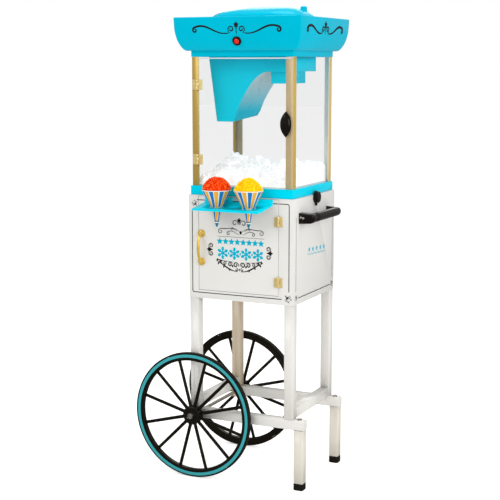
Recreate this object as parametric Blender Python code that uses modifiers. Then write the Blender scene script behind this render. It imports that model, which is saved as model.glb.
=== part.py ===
"""Shaved ice cart: a glass-cased ice shaver on a cabinet, which two spoked wheels and two foot posts carry.

Metres, +Z up. The doors face -Y, the push handle and the foot posts are at +X, the wheels at -X.
Every part hangs on the empty "cart", which stands under the middle of the cabinet.
"""

import math

import bmesh
import bpy
from mathutils import Matrix, Vector

# Where the middle of the cabinet stands from the middle of the whole cart's footprint
CART_X = 0.0640
CART_Y = 0.0274

GAP = 0.0003  # between parts that touch
ROUND = 24  # sides of a turned part
DEPTHS = (("front", -1), ("rear", 1))
SIDES = (("left", -1), ("right", 1))

# Legs, rails and foot posts: square steel tube
TUBE = 0.0288
TUBE_WALL = 0.0015
FRAME_X = 0.1644  # outer faces of the legs
FRAME_Y = 0.1524
RAIL_LOW = 0.1776
RAIL_TOP = RAIL_LOW + TUBE
LEFT_LEG_LOW = 0.1700
FOOT_X = 0.1812  # middle of the foot posts
CAP_HEIGHT = 0.0205
CAP_LIP = 0.0006  # how far a cap stands out from its post

# Wheels on one axle through the left legs
WHEEL_RADIUS = 0.188
WHEEL_X = -(FRAME_X - TUBE / 2)
WHEEL_Y = 0.1670  # middle of a rim
RIM_OUT = 0.1830
RIM_IN = 0.1640
RIM_WIDTH = 0.0140
SPOKES = 12
SPOKE_WIDTH = 0.0100
SPOKE_DEPTH = 0.0050
HUB_RADIUS = 0.0280
HUB_OUT = 0.1790
BOSS_RADIUS = 0.0120
AXLE_RADIUS = 0.0050
AXLE_END = 0.1860
NUT_RADIUS = 0.0092

# Cabinet
CABINET_X = 0.1650
CABINET_Y = 0.1530
CABINET_LOW = 0.5380
CABINET_TOP = 0.8390
SHEET = 0.0015
DOOR_LEFT = -0.1334
DOOR_RIGHT = 0.1180
DOOR_LOW = 0.5630
DOOR_TOP = 0.8365
DOOR_DEPTH = 0.0140
DOOR_GAP = 0.0008
PULL_X = -0.1245
PULL_LOW = 0.6460
PULL_HIGH = 0.7280
PULL_REACH = 0.0210

# Cone shelf on the cabinet door, and the two snow cones that stand in it
SHELF_LEFT = -0.1120
SHELF_RIGHT = 0.1010
SHELF_FRONT = -0.2390
SHELF_BACK_Z = 0.8220
SHELF_FRONT_Z = 0.8098
NOTCH_HALF = 0.0175
CONE_X = 0.0495
CONE_MIDDLE = -0.0020
CONE_Y = -0.1990
CONE_TIP = 0.7550
CONE_RIM = 0.8600
CONE_RADIUS = 0.0418
# The cone's slimmer lower part: radius and height, from its seat down
CONE_WAIST = ((0.0184, 0.8137), (0.0112, 0.8020), (0.0073, 0.7790))
CONE_HOLE = 0.0222

# Push handle on the right wall
HANDLE_X = 0.1970
HANDLE_Z = 0.7825
HANDLE_RADIUS = 0.0130
HANDLE_FRONT = -0.0870
HANDLE_BACK = 0.0870
BRACKET_HIGH = 0.0310
BRACKETS = {"front": (0.2100, 0.0320), "rear": (0.2040, 0.0120)}  # reach and depth

# Drain knob on the right wall
DRAIN_Y = 0.0035
DRAIN_Z = 0.8316
DRAIN_RADIUS = 0.0185
DRAIN_DEPTH = 0.0120
DRAIN_STEM = 0.0050
DRAIN_POINTER = 0.0065  # how far the pointer stands out below the knob

# Glass case
RIM_X = 0.1605
RIM_Y = 0.1495
RIM_TOP = 0.8650
RIM_WALL = 0.0115
PAN_FLOOR = 0.8560
POST_X = 0.1570
POST_Y = 0.1430
POST_WIDTH = 0.0220
CASE_TOP = 1.2310
PANE = 0.0030
GLASS_DOOR_LEFT = -0.1358
GLASS_DOOR_RIGHT = 0.1530
GLASS_DOOR_LOW = 0.8680
GLASS_DOOR_TOP = 1.2285
GLASS_HANDLE_X = 0.1375
GLASS_HANDLE_Z = 1.0460
GLASS_HANDLE_WIDTH = 0.0330
GLASS_HANDLE_HEIGHT = 0.0720
ICE_PEAK = 0.9580
# Heaps of ice: middle in x and y, spread, and share of the tallest one's height
HEAPS = ((-0.080, 0.010, 0.060, 1.0), (0.020, 0.030, 0.070, 0.66), (0.110, 0.070, 0.060, 0.74))

# Hinges with a pin: the leaves lie on the faces that they join
LEAF = 0.0016
KNUCKLE = 0.0032
PIN = 0.0016
BORE = 0.00185
CABINET_HINGE_X = 0.1184
CABINET_HINGE_REACH = 0.0125
CABINET_HINGES = {"upper": (0.7600, 0.7880), "lower": (0.5880, 0.6155)}
GLASS_HINGE_X = -0.1385
GLASS_HINGE_REACH = 0.0165
GLASS_HINGES = {"upper": (1.1380, 1.1675), "lower": (0.9260, 0.9555)}

# Hood: half sizes of the neck, and how far the crown flares out from it at each height
NECK_X = 0.1600
NECK_Y = 0.1450
NECK_TOP = 1.2480
HOOD_TOP = 1.3405
CROWN = ((1.2480, 0.0100), (1.2510, 0.0150), (1.2600, 0.0215), (1.2740, 0.0280))
CROWN += ((1.2900, 0.0322), (1.3080, 0.0350), (HOOD_TOP - 0.002, 0.0365))
HOOD_CORNER = 0.0040
MOULDING = 0.0025  # wall of a moulded part
SWITCH_Z = 1.2740
SWITCH_TILT = math.radians(20.0)
BEZEL_RADIUS = 0.0130
BUTTON_RADIUS = 0.0080

# Ice path: hopper, blade, chute
MOUTH_X = 0.1020
MOUTH_Y = 0.0700
HOPPER_LOW = 1.2385
HOPPER_WALL = 0.0020
BLADE_X = 0.0800
BLADE_Z = 1.2322
BLADE_RADIUS = 0.0520
LID_X = 0.1420
LID_Y = 0.0980
# Height over the lid's foot, share of its full size, and shift of its middle to the knob's side
LID_RISE = ((0.0, 1.0, 0.0), (0.0050, 1.0, 0.0), (0.0130, 0.925, 0.003), (0.0190, 0.82, 0.010))
LID_RISE += ((0.0245, 0.66, 0.021), (0.0285, 0.47, 0.029), (0.0308, 0.28, 0.030))
LID_RISE += ((0.0318, 0.10, 0.030),)
LID_KNOB_X = 0.1200
LID_KNOB_Y = 0.0150
LID_KNOB_RADIUS = 0.0095
CHUTE_Y = 0.0850
MOUTH_TILT = 0.0100  # how much higher the mouth is at the rear
CHUTE = (
    (1.0470, -0.1117, -0.0553),
    (1.0750, -0.1155, -0.0455),
    (1.1010, -0.1190, -0.0350),
    (1.1250, -0.1222, -0.0215),
    (1.1450, -0.1250, -0.0083),
    (1.1610, -0.1272, 0.0043),
    (1.1750, -0.1292, 0.0200),
    (1.1865, -0.1308, 0.0395),
    (1.1890, -0.1312, 0.0505),
    (1.2260, -0.1366, 0.0515),
    (CASE_TOP - GAP, -0.1366, 0.0515),
)
HOUSING_LEFT = 0.0520
HOUSING_RIGHT = 0.1310
HOUSING_STEP = 1.1900
HOUSING_LOW = 1.1560
HOUSING_LOW_RIGHT = 0.1080
HOUSING_LOW_Y = 0.0600
MOTOR_RADIUS = 0.0230
MOTOR_TOP = 1.2190

# Colour, roughness, metallic
LOOKS = {
    "cream_paint": ((0.80, 0.78, 0.72), 0.35, 0.0),
    "white_paint": ((0.84, 0.83, 0.79), 0.35, 0.0),
    "teal_plastic": ((0.0, 0.55, 0.74), 0.22, 0.0),
    "black_metal": ((0.012, 0.010, 0.008), 0.4, 0.0),
    "black_rubber": ((0.015, 0.015, 0.015), 0.7, 0.0),
    "black_plastic": ((0.01, 0.01, 0.01), 0.2, 0.0),
    "steel": ((0.62, 0.62, 0.60), 0.3, 1.0),
    "brass": ((0.58, 0.37, 0.08), 0.3, 0.6),
    "acrylic": ((0.92, 0.94, 0.95), 0.05, 0.0),
    "white_plastic": ((0.85, 0.85, 0.86), 0.4, 0.0),
    "paper": ((0.85, 0.80, 0.60), 0.7, 0.0),
    "red_plastic": ((0.8, 0.03, 0.02), 0.25, 0.0),
    "ice": ((0.93, 0.95, 0.97), 0.8, 0.0),
}


def clear_scene():
    for obj in list(bpy.data.objects):
        bpy.data.objects.remove(obj, do_unlink=True)


def new_collection(name, hidden):
    made = bpy.data.collections.new(name)
    bpy.context.scene.collection.children.link(made)
    made.hide_render = hidden
    return made


def make_look(name):
    color, roughness, metallic = LOOKS[name]
    look = bpy.data.materials.new(name)
    look.use_nodes = True
    shader = look.node_tree.nodes["Principled BSDF"]
    shader.inputs["Base Color"].default_value = (*color, 1.0)
    shader.inputs["Roughness"].default_value = roughness
    shader.inputs["Metallic"].default_value = metallic
    return look


clear_scene()
PARTS = new_collection("shaved_ice_cart", False)
CUTTERS = new_collection("cutters", True)
MATERIALS = {name: make_look(name) for name in LOOKS}
CART = bpy.data.objects.new("cart", None)
CART.location = (CART_X, CART_Y, 0.0)
PARTS.objects.link(CART)


# Building blocks


def add_part(name, mesh, look):
    part = bpy.data.objects.new(name, mesh)
    PARTS.objects.link(part)
    part.parent = CART
    mesh.materials.append(MATERIALS[look])
    return part


def mesh_from(name, shape):
    bmesh.ops.recalc_face_normals(shape, faces=shape.faces)
    mesh = bpy.data.meshes.new(name)
    shape.to_mesh(mesh)
    shape.free()
    return mesh


def shade_round(part, angle=40.0):
    part.data.shade_smooth()
    part.data.set_sharp_from_angle(angle=math.radians(angle))


def cube_shape(low, high):
    shape = bmesh.new()
    bmesh.ops.create_cube(shape, size=1.0)
    bmesh.ops.scale(shape, vec=Vector(high) - Vector(low), verts=shape.verts)
    return shape


def middle(low, high):
    return (Vector(low) + Vector(high)) / 2


def box(name, low, high, look, bevel=0.0):
    part = add_part(name, mesh_from(name, cube_shape(low, high)), look)
    part.location = middle(low, high)
    if bevel:
        soften(part, bevel)
    return part


def soften(part, width, segments=2):
    bevel = part.modifiers.new("rounded edges", "BEVEL")
    bevel.width = width
    bevel.segments = segments
    bevel.limit_method = "ANGLE"
    bevel.angle_limit = math.radians(40.0)


def turn_to(axis):
    return Vector((0.0, 0.0, 1.0)).rotation_difference(Vector(axis)).to_matrix().to_4x4()


def cone_shape(radius, length, axis, sides, top_radius=None):
    shape = bmesh.new()
    bmesh.ops.create_cone(
        shape,
        cap_ends=True,
        segments=sides,
        radius1=radius,
        radius2=radius if top_radius is None else top_radius,
        depth=length,
    )
    bmesh.ops.transform(shape, matrix=turn_to(axis), verts=shape.verts)
    return shape


def rod(name, centre, radius, length, axis, look, sides=ROUND):
    part = add_part(name, mesh_from(name, cone_shape(radius, length, axis, sides)), look)
    part.location = centre
    shade_round(part)
    return part


def hide_helper(helper):
    """Moves a shape that only cuts or joins another into the hidden collection."""
    for holder in helper.users_collection:
        holder.objects.unlink(helper)
    CUTTERS.objects.link(helper)
    helper.hide_render = True
    helper.display_type = "WIRE"


def boolean(part, helper, operation):
    hide_helper(helper)
    step = part.modifiers.new(helper.name, "BOOLEAN")
    step.operation = operation
    step.object = helper


def cut(part, helper):
    boolean(part, helper, "DIFFERENCE")


def join(part, helper):
    boolean(part, helper, "UNION")


def box_helper(low, high):
    return box("helper_box", low, high, "steel")


def rod_helper(centre, radius, length, axis, sides=ROUND):
    return rod("helper_rod", centre, radius, length, axis, "steel", sides)


def tube(name, low, high, look, wall, open_ends, bevel=0.003):
    """A box-shaped tube, open at the ends named by their outward directions."""
    shape = cube_shape(low, high)
    lids = [face for face in shape.faces if any(face.normal.dot(Vector(end)) > 0.9 for end in open_ends)]
    edges = [edge for edge in shape.edges if not set(edge.link_faces) & set(lids)]
    bmesh.ops.delete(shape, geom=lids, context="FACES_ONLY")
    if bevel:
        bmesh.ops.bevel(shape, geom=edges, offset=bevel, segments=2, affect="EDGES", profile=0.5)
    mesh = bpy.data.meshes.new(name)
    shape.to_mesh(mesh)
    shape.free()
    part = add_part(name, mesh, look)
    part.location = middle(low, high)
    thicken(part, wall)
    return part


def thicken(part, wall):
    """Gives an open surface a wall on its inner side."""
    shell = part.modifiers.new("wall", "SOLIDIFY")
    shell.thickness = wall
    shell.offset = -1.0
    shell.use_even_offset = True


def turned(name, profile, centre, axis, look, steps=ROUND):
    """Turns (radius, height) points, given down the outer side, about the axis."""
    mesh = bpy.data.meshes.new(name)
    points = [(radius, 0.0, height) for radius, height in profile]
    closed = profile[0][0] > 0.0
    edges = [(i, i + 1) for i in range(len(points) - 1)]
    if closed:
        edges.append((len(points) - 1, 0))
    mesh.from_pydata(points, edges, [])
    part = add_part(name, mesh, look)
    screw = part.modifiers.new("turning", "SCREW")
    screw.steps = steps
    screw.render_steps = steps
    screw.use_merge_vertices = True
    screw.merge_threshold = 0.00001
    part.location = centre
    part.rotation_euler = turn_to(axis).to_euler()
    return part


def meshed(curve_object, look):
    """Replaces a curve by the mesh it makes, with its caps welded on."""
    bpy.context.view_layer.update()
    graph = bpy.context.evaluated_depsgraph_get()
    mesh = bpy.data.meshes.new_from_object(curve_object.evaluated_get(graph))
    shape = bmesh.new()
    shape.from_mesh(mesh)
    bmesh.ops.remove_doubles(shape, verts=shape.verts, dist=0.000001)
    bmesh.ops.recalc_face_normals(shape, faces=shape.faces)
    shape.to_mesh(mesh)
    shape.free()
    name = curve_object.name
    matrix = curve_object.matrix_world.copy()
    bpy.data.objects.remove(curve_object, do_unlink=True)
    mesh.materials.clear()
    part = add_part(name, mesh, look)
    part.matrix_local = matrix
    return part


def new_curve(name, points, closed, flat):
    curve = bpy.data.curves.new(name, "CURVE")
    curve.dimensions = "2D" if flat else "3D"
    line = curve.splines.new("POLY")
    line.points.add(len(points) - 1)
    for place, point in zip(line.points, points):
        place.co = (*point, 0.0, 1.0) if flat else (*point, 1.0)
    line.use_cyclic_u = closed
    made = bpy.data.objects.new(name, curve)
    PARTS.objects.link(made)
    return made


def prism(name, outline, plane, start, end, look):
    """An outline in the plane XY, XZ or YZ, pushed from start to end along the third axis."""
    made = new_curve(name, outline, True, True)
    made.data.fill_mode = "BOTH"
    made.data.extrude = (end - start) / 2
    across, up = ("XYZ".index(letter) for letter in plane)
    third = 3 - across - up
    turn = Matrix.Identity(4)
    for row in range(3):
        turn[row][0] = 1.0 if row == across else 0.0
        turn[row][1] = 1.0 if row == up else 0.0
        turn[row][2] = 1.0 if row == third else 0.0
    turn[third][2] = turn.to_3x3().determinant()
    turn.translation[third] = (start + end) / 2
    made.matrix_world = turn
    return meshed(made, look)


def bent_rod(name, points, radius, look, fineness=2):
    made = new_curve(name, points, False, False)
    made.data.bevel_depth = radius
    made.data.bevel_resolution = fineness
    made.data.use_fill_caps = True
    part = meshed(made, look)
    shade_round(part)
    return part


def arc(centre, radius, start, end, steps):
    """Points of an arc in a plane, from one angle in degrees to another."""
    turns = [math.radians(start + (end - start) * i / steps) for i in range(steps + 1)]
    return [(centre[0] + radius * math.cos(t), centre[1] + radius * math.sin(t)) for t in turns]


def rounded_loop(half_x, half_y, radius, steps, centre_x=0.0):
    """A rectangle with round corners, counter-clockwise from the +X side."""
    points = []
    for sign_x, sign_y, start in ((1, 1, 0), (-1, 1, 90), (-1, -1, 180), (1, -1, 270)):
        centre = (centre_x + sign_x * (half_x - radius), sign_y * (half_y - radius))
        points += arc(centre, radius, start, start + 90, steps)
    return points


def loft(name, sections, look, cap_ends=False):
    """Joins loops of the same count, each a list of (x, y, z)."""
    shape = bmesh.new()
    loops = [[shape.verts.new(point) for point in section] for section in sections]
    for lower, upper in zip(loops, loops[1:]):
        for i in range(len(lower)):
            j = (i + 1) % len(lower)
            shape.faces.new((lower[i], lower[j], upper[j], upper[i]))
    if cap_ends:
        shape.faces.new(loops[0][::-1])
        shape.faces.new(loops[-1])
    mesh = bpy.data.meshes.new(name)
    shape.to_mesh(mesh)
    shape.free()
    part = add_part(name, mesh, look)
    shade_round(part)
    return part


def at_height(loop, height):
    return [(x, y, height) for x, y in loop]


def pivot(name, location, parts):
    """An empty on a joint's axis, which carries the parts that move on that joint."""
    joint = bpy.data.objects.new(name, None)
    PARTS.objects.link(joint)
    joint.parent = CART
    joint.location = location
    for part in parts:
        part.parent = joint
        part.location -= Vector(location)
    return joint


# Frame


def make_legs():
    top = CABINET_LOW - GAP
    for depth, side_y in DEPTHS:
        outer_y = side_y * FRAME_Y
        inner_y = outer_y - side_y * TUBE
        low_y, high_y = sorted((outer_y, inner_y))
        left = tube(
            "leg_" + depth + "_left",
            (-FRAME_X, low_y, LEFT_LEG_LOW),
            (-FRAME_X + TUBE, high_y, top),
            "cream_paint",
            TUBE_WALL,
            ((0, 0, 1), (0, 0, -1)),
        )
        bore = rod_helper((WHEEL_X, (low_y + high_y) / 2, WHEEL_RADIUS), AXLE_RADIUS + GAP, 0.05, (0, 1, 0))
        cut(left, bore)
        tube(
            "leg_" + depth + "_right",
            (FRAME_X - TUBE, low_y, RAIL_TOP + GAP),
            (FRAME_X, high_y, top),
            "cream_paint",
            TUBE_WALL,
            ((0, 0, 1), (0, 0, -1)),
        )


def make_rails():
    end = FOOT_X + TUBE / 2
    for depth, side_y in DEPTHS:
        low_y, high_y = sorted((side_y * FRAME_Y, side_y * (FRAME_Y - TUBE)))
        tube(
            "lower_rail_" + depth,
            (-FRAME_X + TUBE + GAP, low_y, RAIL_LOW),
            (end, high_y, RAIL_TOP),
            "cream_paint",
            TUBE_WALL,
            ((-1, 0, 0),),
        )
        tube(
            "foot_post_" + depth,
            (FOOT_X - TUBE / 2, low_y, CAP_HEIGHT + GAP),
            (end, high_y, RAIL_LOW - GAP),
            "cream_paint",
            TUBE_WALL,
            ((0, 0, 1), (0, 0, -1)),
        )
        box(
            "foot_cap_" + depth,
            (FOOT_X - TUBE / 2 - CAP_LIP, low_y - CAP_LIP, 0.0),
            (end + CAP_LIP, high_y + CAP_LIP, CAP_HEIGHT),
            "black_rubber",
            0.003,
        )


def make_cross_rails():
    reach = FRAME_Y - TUBE - GAP
    for side, low_x in (("left", -FRAME_X), ("right", FRAME_X - TUBE)):
        tube(
            "cross_rail_" + side,
            (low_x, -reach, RAIL_TOP + GAP),
            (low_x + TUBE, reach, RAIL_TOP + GAP + TUBE),
            "cream_paint",
            TUBE_WALL,
            ((0, 1, 0), (0, -1, 0)),
        )


# Wheels


def make_wheel(depth, side_y):
    """Hub, flat spokes and rim in one welded piece, with a rubber tyre round it."""
    centre = Vector((WHEEL_X, side_y * WHEEL_Y, WHEEL_RADIUS))
    outward = (0, side_y, 0)
    half = RIM_WIDTH / 2
    hub_out = HUB_OUT - WHEEL_Y
    hub_in = -(WHEEL_Y - FRAME_Y - 0.0045)
    boss_in = -(WHEEL_Y - FRAME_Y - 0.0008)
    bore = AXLE_RADIUS + GAP
    shoulder = 0.004
    hub_end = hub_out + 0.003
    hub = [(BOSS_RADIUS, hub_end), (HUB_RADIUS - shoulder, hub_out), (HUB_RADIUS, hub_out - shoulder)]
    hub += [(HUB_RADIUS, hub_in), (BOSS_RADIUS, hub_in), (BOSS_RADIUS, boss_in)]
    hub += [(bore, boss_in), (bore, hub_end)]
    wheel = turned("wheel_" + depth, hub, centre, outward, "black_metal")
    rim = [(RIM_OUT, half), (RIM_OUT, -half), (RIM_IN, -half), (RIM_IN, half)]
    ring = turned("helper_rim", rim, centre, outward, "black_metal", 48)
    spoke_in = HUB_RADIUS - shoulder
    spoke_out = RIM_IN + 0.005
    for i in range(SPOKES):
        turn = 2 * math.pi * (i + 0.5) / SPOKES
        shape = cube_shape((0, 0, 0), (spoke_out - spoke_in, SPOKE_DEPTH, SPOKE_WIDTH))
        spoke = add_part("helper_spoke", mesh_from("spoke", shape), "black_metal")
        reach = (spoke_in + spoke_out) / 2
        spoke.location = centre + Vector((reach * math.cos(turn), 0.0, reach * math.sin(turn)))
        spoke.rotation_euler = (0.0, -turn, 0.0)
        join(wheel, spoke)
    join(wheel, ring)
    wide = half + 0.001
    edge = WHEEL_RADIUS - 0.0015
    flat = wide - 0.002
    tread = [(edge, wide), (WHEEL_RADIUS, flat), (WHEEL_RADIUS, -flat), (edge, -wide)]
    tread += [(RIM_OUT + GAP, -wide), (RIM_OUT + GAP, wide)]
    tyre = turned("tyre_" + depth, tread, centre, outward, "black_rubber", 48)
    pivot("joint_wheel_" + depth, centre, (wheel, tyre))


def make_axle():
    rod("axle", (WHEEL_X, 0.0, WHEEL_RADIUS), AXLE_RADIUS, 2 * AXLE_END, (0, 1, 0), "steel", 16)
    nut_in = HUB_OUT + 0.003 + GAP
    for depth, side_y in DEPTHS:
        length = AXLE_END - 0.001 - nut_in
        centre = (WHEEL_X, side_y * (nut_in + length / 2), WHEEL_RADIUS)
        nut = rod("axle_nut_" + depth, centre, NUT_RADIUS, length, (0, 1, 0), "steel", 6)
        cut(nut, rod_helper(centre, AXLE_RADIUS + GAP, 0.02, (0, 1, 0), 16))


# Cabinet


def make_cabinet():
    outer_low = (-CABINET_X, -CABINET_Y, CABINET_LOW)
    outer_high = (CABINET_X, CABINET_Y, CABINET_TOP)
    shell = box("cabinet_shell", outer_low, outer_high, "white_paint")
    inner = Vector((SHEET, SHEET, SHEET))
    cut(shell, box_helper(Vector(outer_low) + inner, Vector(outer_high) - inner))
    opening_low = (DOOR_LEFT - DOOR_GAP, -CABINET_Y - 0.01, DOOR_LOW - DOOR_GAP)
    opening_high = (DOOR_RIGHT + DOOR_GAP, -CABINET_Y + 0.01, DOOR_TOP + DOOR_GAP)
    cut(shell, box_helper(opening_low, opening_high))
    cut(shell, rod_helper((CABINET_X, DRAIN_Y, DRAIN_Z), DRAIN_STEM + GAP, 0.02, (1, 0, 0)))
    catch_x = DOOR_LEFT + 0.004
    back = -CABINET_Y + DOOR_DEPTH + GAP
    box(
        "magnet_catch",
        (-CABINET_X + SHEET + GAP, back, 0.680),
        (catch_x, back + 0.012, 0.716),
        "steel",
        0.001,
    )


def make_cabinet_door():
    door = box(
        "cabinet_door",
        (DOOR_LEFT, -CABINET_Y, DOOR_LOW),
        (DOOR_RIGHT, -CABINET_Y + DOOR_DEPTH, DOOR_TOP),
        "white_paint",
    )
    return [door, make_pull(), make_cone_shelf()]


def make_pull():
    """A bowed brass bar between two round bases."""
    face = -CABINET_Y - GAP
    bow = []
    steps = 10
    for i in range(steps + 1):
        along = i / steps
        reach = 0.004 + (PULL_REACH - 0.004) * math.sin(math.pi * along) ** 0.5
        bow.append((PULL_X, face - reach, PULL_LOW + (PULL_HIGH - PULL_LOW) * along))
    pull = bent_rod("cabinet_pull", bow, 0.0040, "brass")
    for height in (PULL_LOW, PULL_HIGH):
        base = rod_helper((PULL_X, face - 0.003, height), 0.0115, 0.006, (0, 1, 0), 20)
        join(pull, base)
    return pull


def make_cone_shelf():
    """Bent sheet: a flange on the door, and a leaf that slopes down to the front with two round holes."""
    face = -CABINET_Y - GAP
    slope = (SHELF_BACK_Z - SHELF_FRONT_Z) / (face - SHELF_FRONT)
    outline = [
        (face, DOOR_TOP - 0.0005),
        (face - SHEET, DOOR_TOP - 0.0005),
        (face - SHEET, SHELF_BACK_Z - slope * SHEET),
        (SHELF_FRONT, SHELF_FRONT_Z),
        (SHELF_FRONT, SHELF_FRONT_Z - SHEET),
        (face, SHELF_BACK_Z - SHEET),
    ]
    shelf = prism("cone_shelf", outline, "YZ", SHELF_LEFT, SHELF_RIGHT, "teal_plastic")
    for side, side_x in SIDES:
        hole = (CONE_MIDDLE + side_x * CONE_X, CONE_Y, SHELF_FRONT_Z)
        cut(shelf, rod_helper(hole, CONE_HOLE, 0.06, (0, 0, 1), 32))
    notch_low = ((SHELF_LEFT + SHELF_RIGHT) / 2 - NOTCH_HALF, face - 0.01, SHELF_BACK_Z + 0.002)
    notch_high = ((SHELF_LEFT + SHELF_RIGHT) / 2 + NOTCH_HALF, face + 0.01, DOOR_TOP + 0.01)
    cut(shelf, box_helper(notch_low, notch_high))
    return shelf


def make_snow_cones():
    """Paper cones filled with ice up to a low crown just over the rim."""
    rise = 0.0045
    profile = [(0.0, CONE_RIM + rise), (CONE_RADIUS * 0.6, CONE_RIM + rise * 0.7)]
    profile += [(CONE_RADIUS - 0.0015, CONE_RIM), (CONE_RADIUS, CONE_RIM), *CONE_WAIST, (0.0, CONE_TIP)]
    for side, side_x in SIDES:
        x = CONE_MIDDLE + side_x * CONE_X
        cone = turned("snow_cone_" + side, profile, (x, CONE_Y, 0.0), (0, 0, 1), "paper")
        pivot("joint_cone_" + side, (x, CONE_Y, CONE_TIP), (cone,))


def make_push_handle():
    """A round bar along the right side, held by a block at each end."""
    wall = CABINET_X + GAP
    length = HANDLE_BACK - HANDLE_FRONT - 2 * GAP
    centre = (HANDLE_X, (HANDLE_FRONT + HANDLE_BACK) / 2, HANDLE_Z)
    rod("push_handle", centre, HANDLE_RADIUS, length, (0, 1, 0), "black_plastic", 24)
    low = HANDLE_Z - BRACKET_HIGH / 2
    high = HANDLE_Z + BRACKET_HIGH / 2
    for depth, start in (("front", HANDLE_FRONT), ("rear", HANDLE_BACK)):
        reach, deep = BRACKETS[depth]
        y_low = start - deep if depth == "front" else start
        name = "handle_bracket_" + depth
        box(name, (wall, y_low, low), (reach, y_low + deep, high), "black_plastic", 0.003)


def make_drain_knob():
    """A round knob with a pointer, on a stem through the wall."""
    face = CABINET_X + GAP
    knob = rod(
        "drain_knob",
        (face + DRAIN_DEPTH / 2, DRAIN_Y, DRAIN_Z),
        DRAIN_RADIUS,
        DRAIN_DEPTH,
        (1, 0, 0),
        "black_plastic",
    )
    tip = DRAIN_Z - DRAIN_RADIUS - DRAIN_POINTER
    flank = (DRAIN_Y - 0.010, DRAIN_Z - 0.010), (DRAIN_Y, tip), (DRAIN_Y + 0.010, DRAIN_Z - 0.010)
    join(knob, prism("helper_pointer", flank, "YZ", face + 0.0005, face + 0.0050, "black_plastic"))
    join(knob, rod_helper((CABINET_X - 0.006, DRAIN_Y, DRAIN_Z), DRAIN_STEM, 0.018, (1, 0, 0), 16))
    pivot("joint_drain_knob", (CABINET_X, DRAIN_Y, DRAIN_Z), (knob,))


# Hinges


def make_hinge(prefix, axis_x, axis_y, span, fixed, moving):
    """Two leaves and their knuckles. Each of fixed and moving is (side, face of the leaf's back, reach)."""
    low, high = span
    third = (high - low) / 3
    inset = 0.0002
    outer_knuckles = ((low, low + third), (high - third, high))
    knuckles = {"fixed": outer_knuckles, "leaf": ((low + third, high - third),)}
    made = {}
    for kind, (side, back, reach) in (("fixed", fixed), ("leaf", moving)):
        near = axis_x + side * (KNUCKLE + GAP)
        x_low, x_high = sorted((near, axis_x + side * reach))
        hinge = box(prefix + "_" + kind, (x_low, back - LEAF, low), (x_high, back, high), "brass")
        for start, end in knuckles[kind]:
            if kind == "leaf":
                start, end = start + GAP, end - GAP
            tab_low, tab_high = sorted((axis_x + side * 0.0022, near + side * 0.002))
            tab_front = (tab_low, axis_y - 0.0008, start + inset)
            join(hinge, box_helper(tab_front, (tab_high, back - inset, end - inset)))
            place = (axis_x, axis_y, (start + end) / 2)
            join(hinge, rod_helper(place, KNUCKLE, end - start, (0, 0, 1), 16))
        centre = (axis_x, axis_y, (low + high) / 2)
        if kind == "leaf":
            cut(hinge, rod_helper(centre, BORE, high - low, (0, 0, 1), 16))
        else:
            join(hinge, rod_helper(centre, PIN, high - low - 0.002, (0, 0, 1), 16))
        made[kind] = hinge
    return made["leaf"]


def make_cabinet_hinges():
    face = -CABINET_Y - GAP
    axis_y = face - KNUCKLE - GAP
    leaves = []
    for name, span in CABINET_HINGES.items():
        fixed = (1, face, CABINET_HINGE_REACH)
        moving = (-1, face, CABINET_HINGE_REACH)
        leaves.append(make_hinge("cabinet_hinge_" + name, CABINET_HINGE_X, axis_y, span, fixed, moving))
    return leaves


def make_glass_hinges():
    post_face = -POST_Y - GAP
    door_face = -POST_Y - GAP - PANE - GAP
    axis_y = door_face - KNUCKLE - GAP
    leaves = []
    for name, span in GLASS_HINGES.items():
        fixed = (-1, post_face, GLASS_HINGE_REACH)
        moving = (1, door_face, GLASS_HINGE_REACH)
        leaves.append(make_hinge("glass_hinge_" + name, GLASS_HINGE_X, axis_y, span, fixed, moving))
    return leaves


# Glass case


def make_base_rim():
    low = (-RIM_X, -RIM_Y, CABINET_TOP + GAP)
    high = (RIM_X, RIM_Y, RIM_TOP)
    rim = box("base_rim", low, high, "teal_plastic")
    wall = Vector((RIM_WALL, RIM_WALL, -0.01))
    cut(rim, box_helper(Vector(low) + wall, Vector(high) - wall))


def make_ice_pan():
    reach_x = RIM_X - RIM_WALL - GAP
    reach_y = RIM_Y - RIM_WALL - GAP
    low = (-reach_x, -reach_y, PAN_FLOOR - 0.002)
    tube("ice_pan", low, (reach_x, reach_y, RIM_TOP + 0.004), "white_plastic", 0.002, ((0, 0, 1),), 0.0)


def make_posts():
    for depth, side_y in DEPTHS:
        for side, side_x in SIDES:
            corners = [(0, 0), (POST_WIDTH, 0), (POST_WIDTH, SHEET), (SHEET, SHEET)]
            corners += [(SHEET, POST_WIDTH), (0, POST_WIDTH)]
            outline = [(side_x * (POST_X - a), side_y * (POST_Y - b)) for a, b in corners]
            name = "post_" + depth + "_" + side
            prism(name, outline, "XY", RIM_TOP + GAP, CASE_TOP - GAP, "brass")


def make_panes():
    low = RIM_TOP + GAP
    top = CASE_TOP - GAP
    out_x = POST_X - SHEET - GAP
    out_y = POST_Y - SHEET - GAP
    for side, side_x in SIDES:
        low_x, high_x = sorted((side_x * out_x, side_x * (out_x - PANE)))
        box("glass_" + side, (low_x, -out_y, low), (high_x, out_y, top), "acrylic")
    reach = out_x - PANE - GAP
    box("glass_rear", (-reach, out_y - PANE, low), (reach, out_y, top), "acrylic")


def make_glass_door():
    back = -POST_Y - GAP
    door = box(
        "glass_door",
        (GLASS_DOOR_LEFT, back - PANE, GLASS_DOOR_LOW),
        (GLASS_DOOR_RIGHT, back, GLASS_DOOR_TOP),
        "acrylic",
    )
    return [door, make_glass_door_handle(back - PANE - GAP)]


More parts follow.
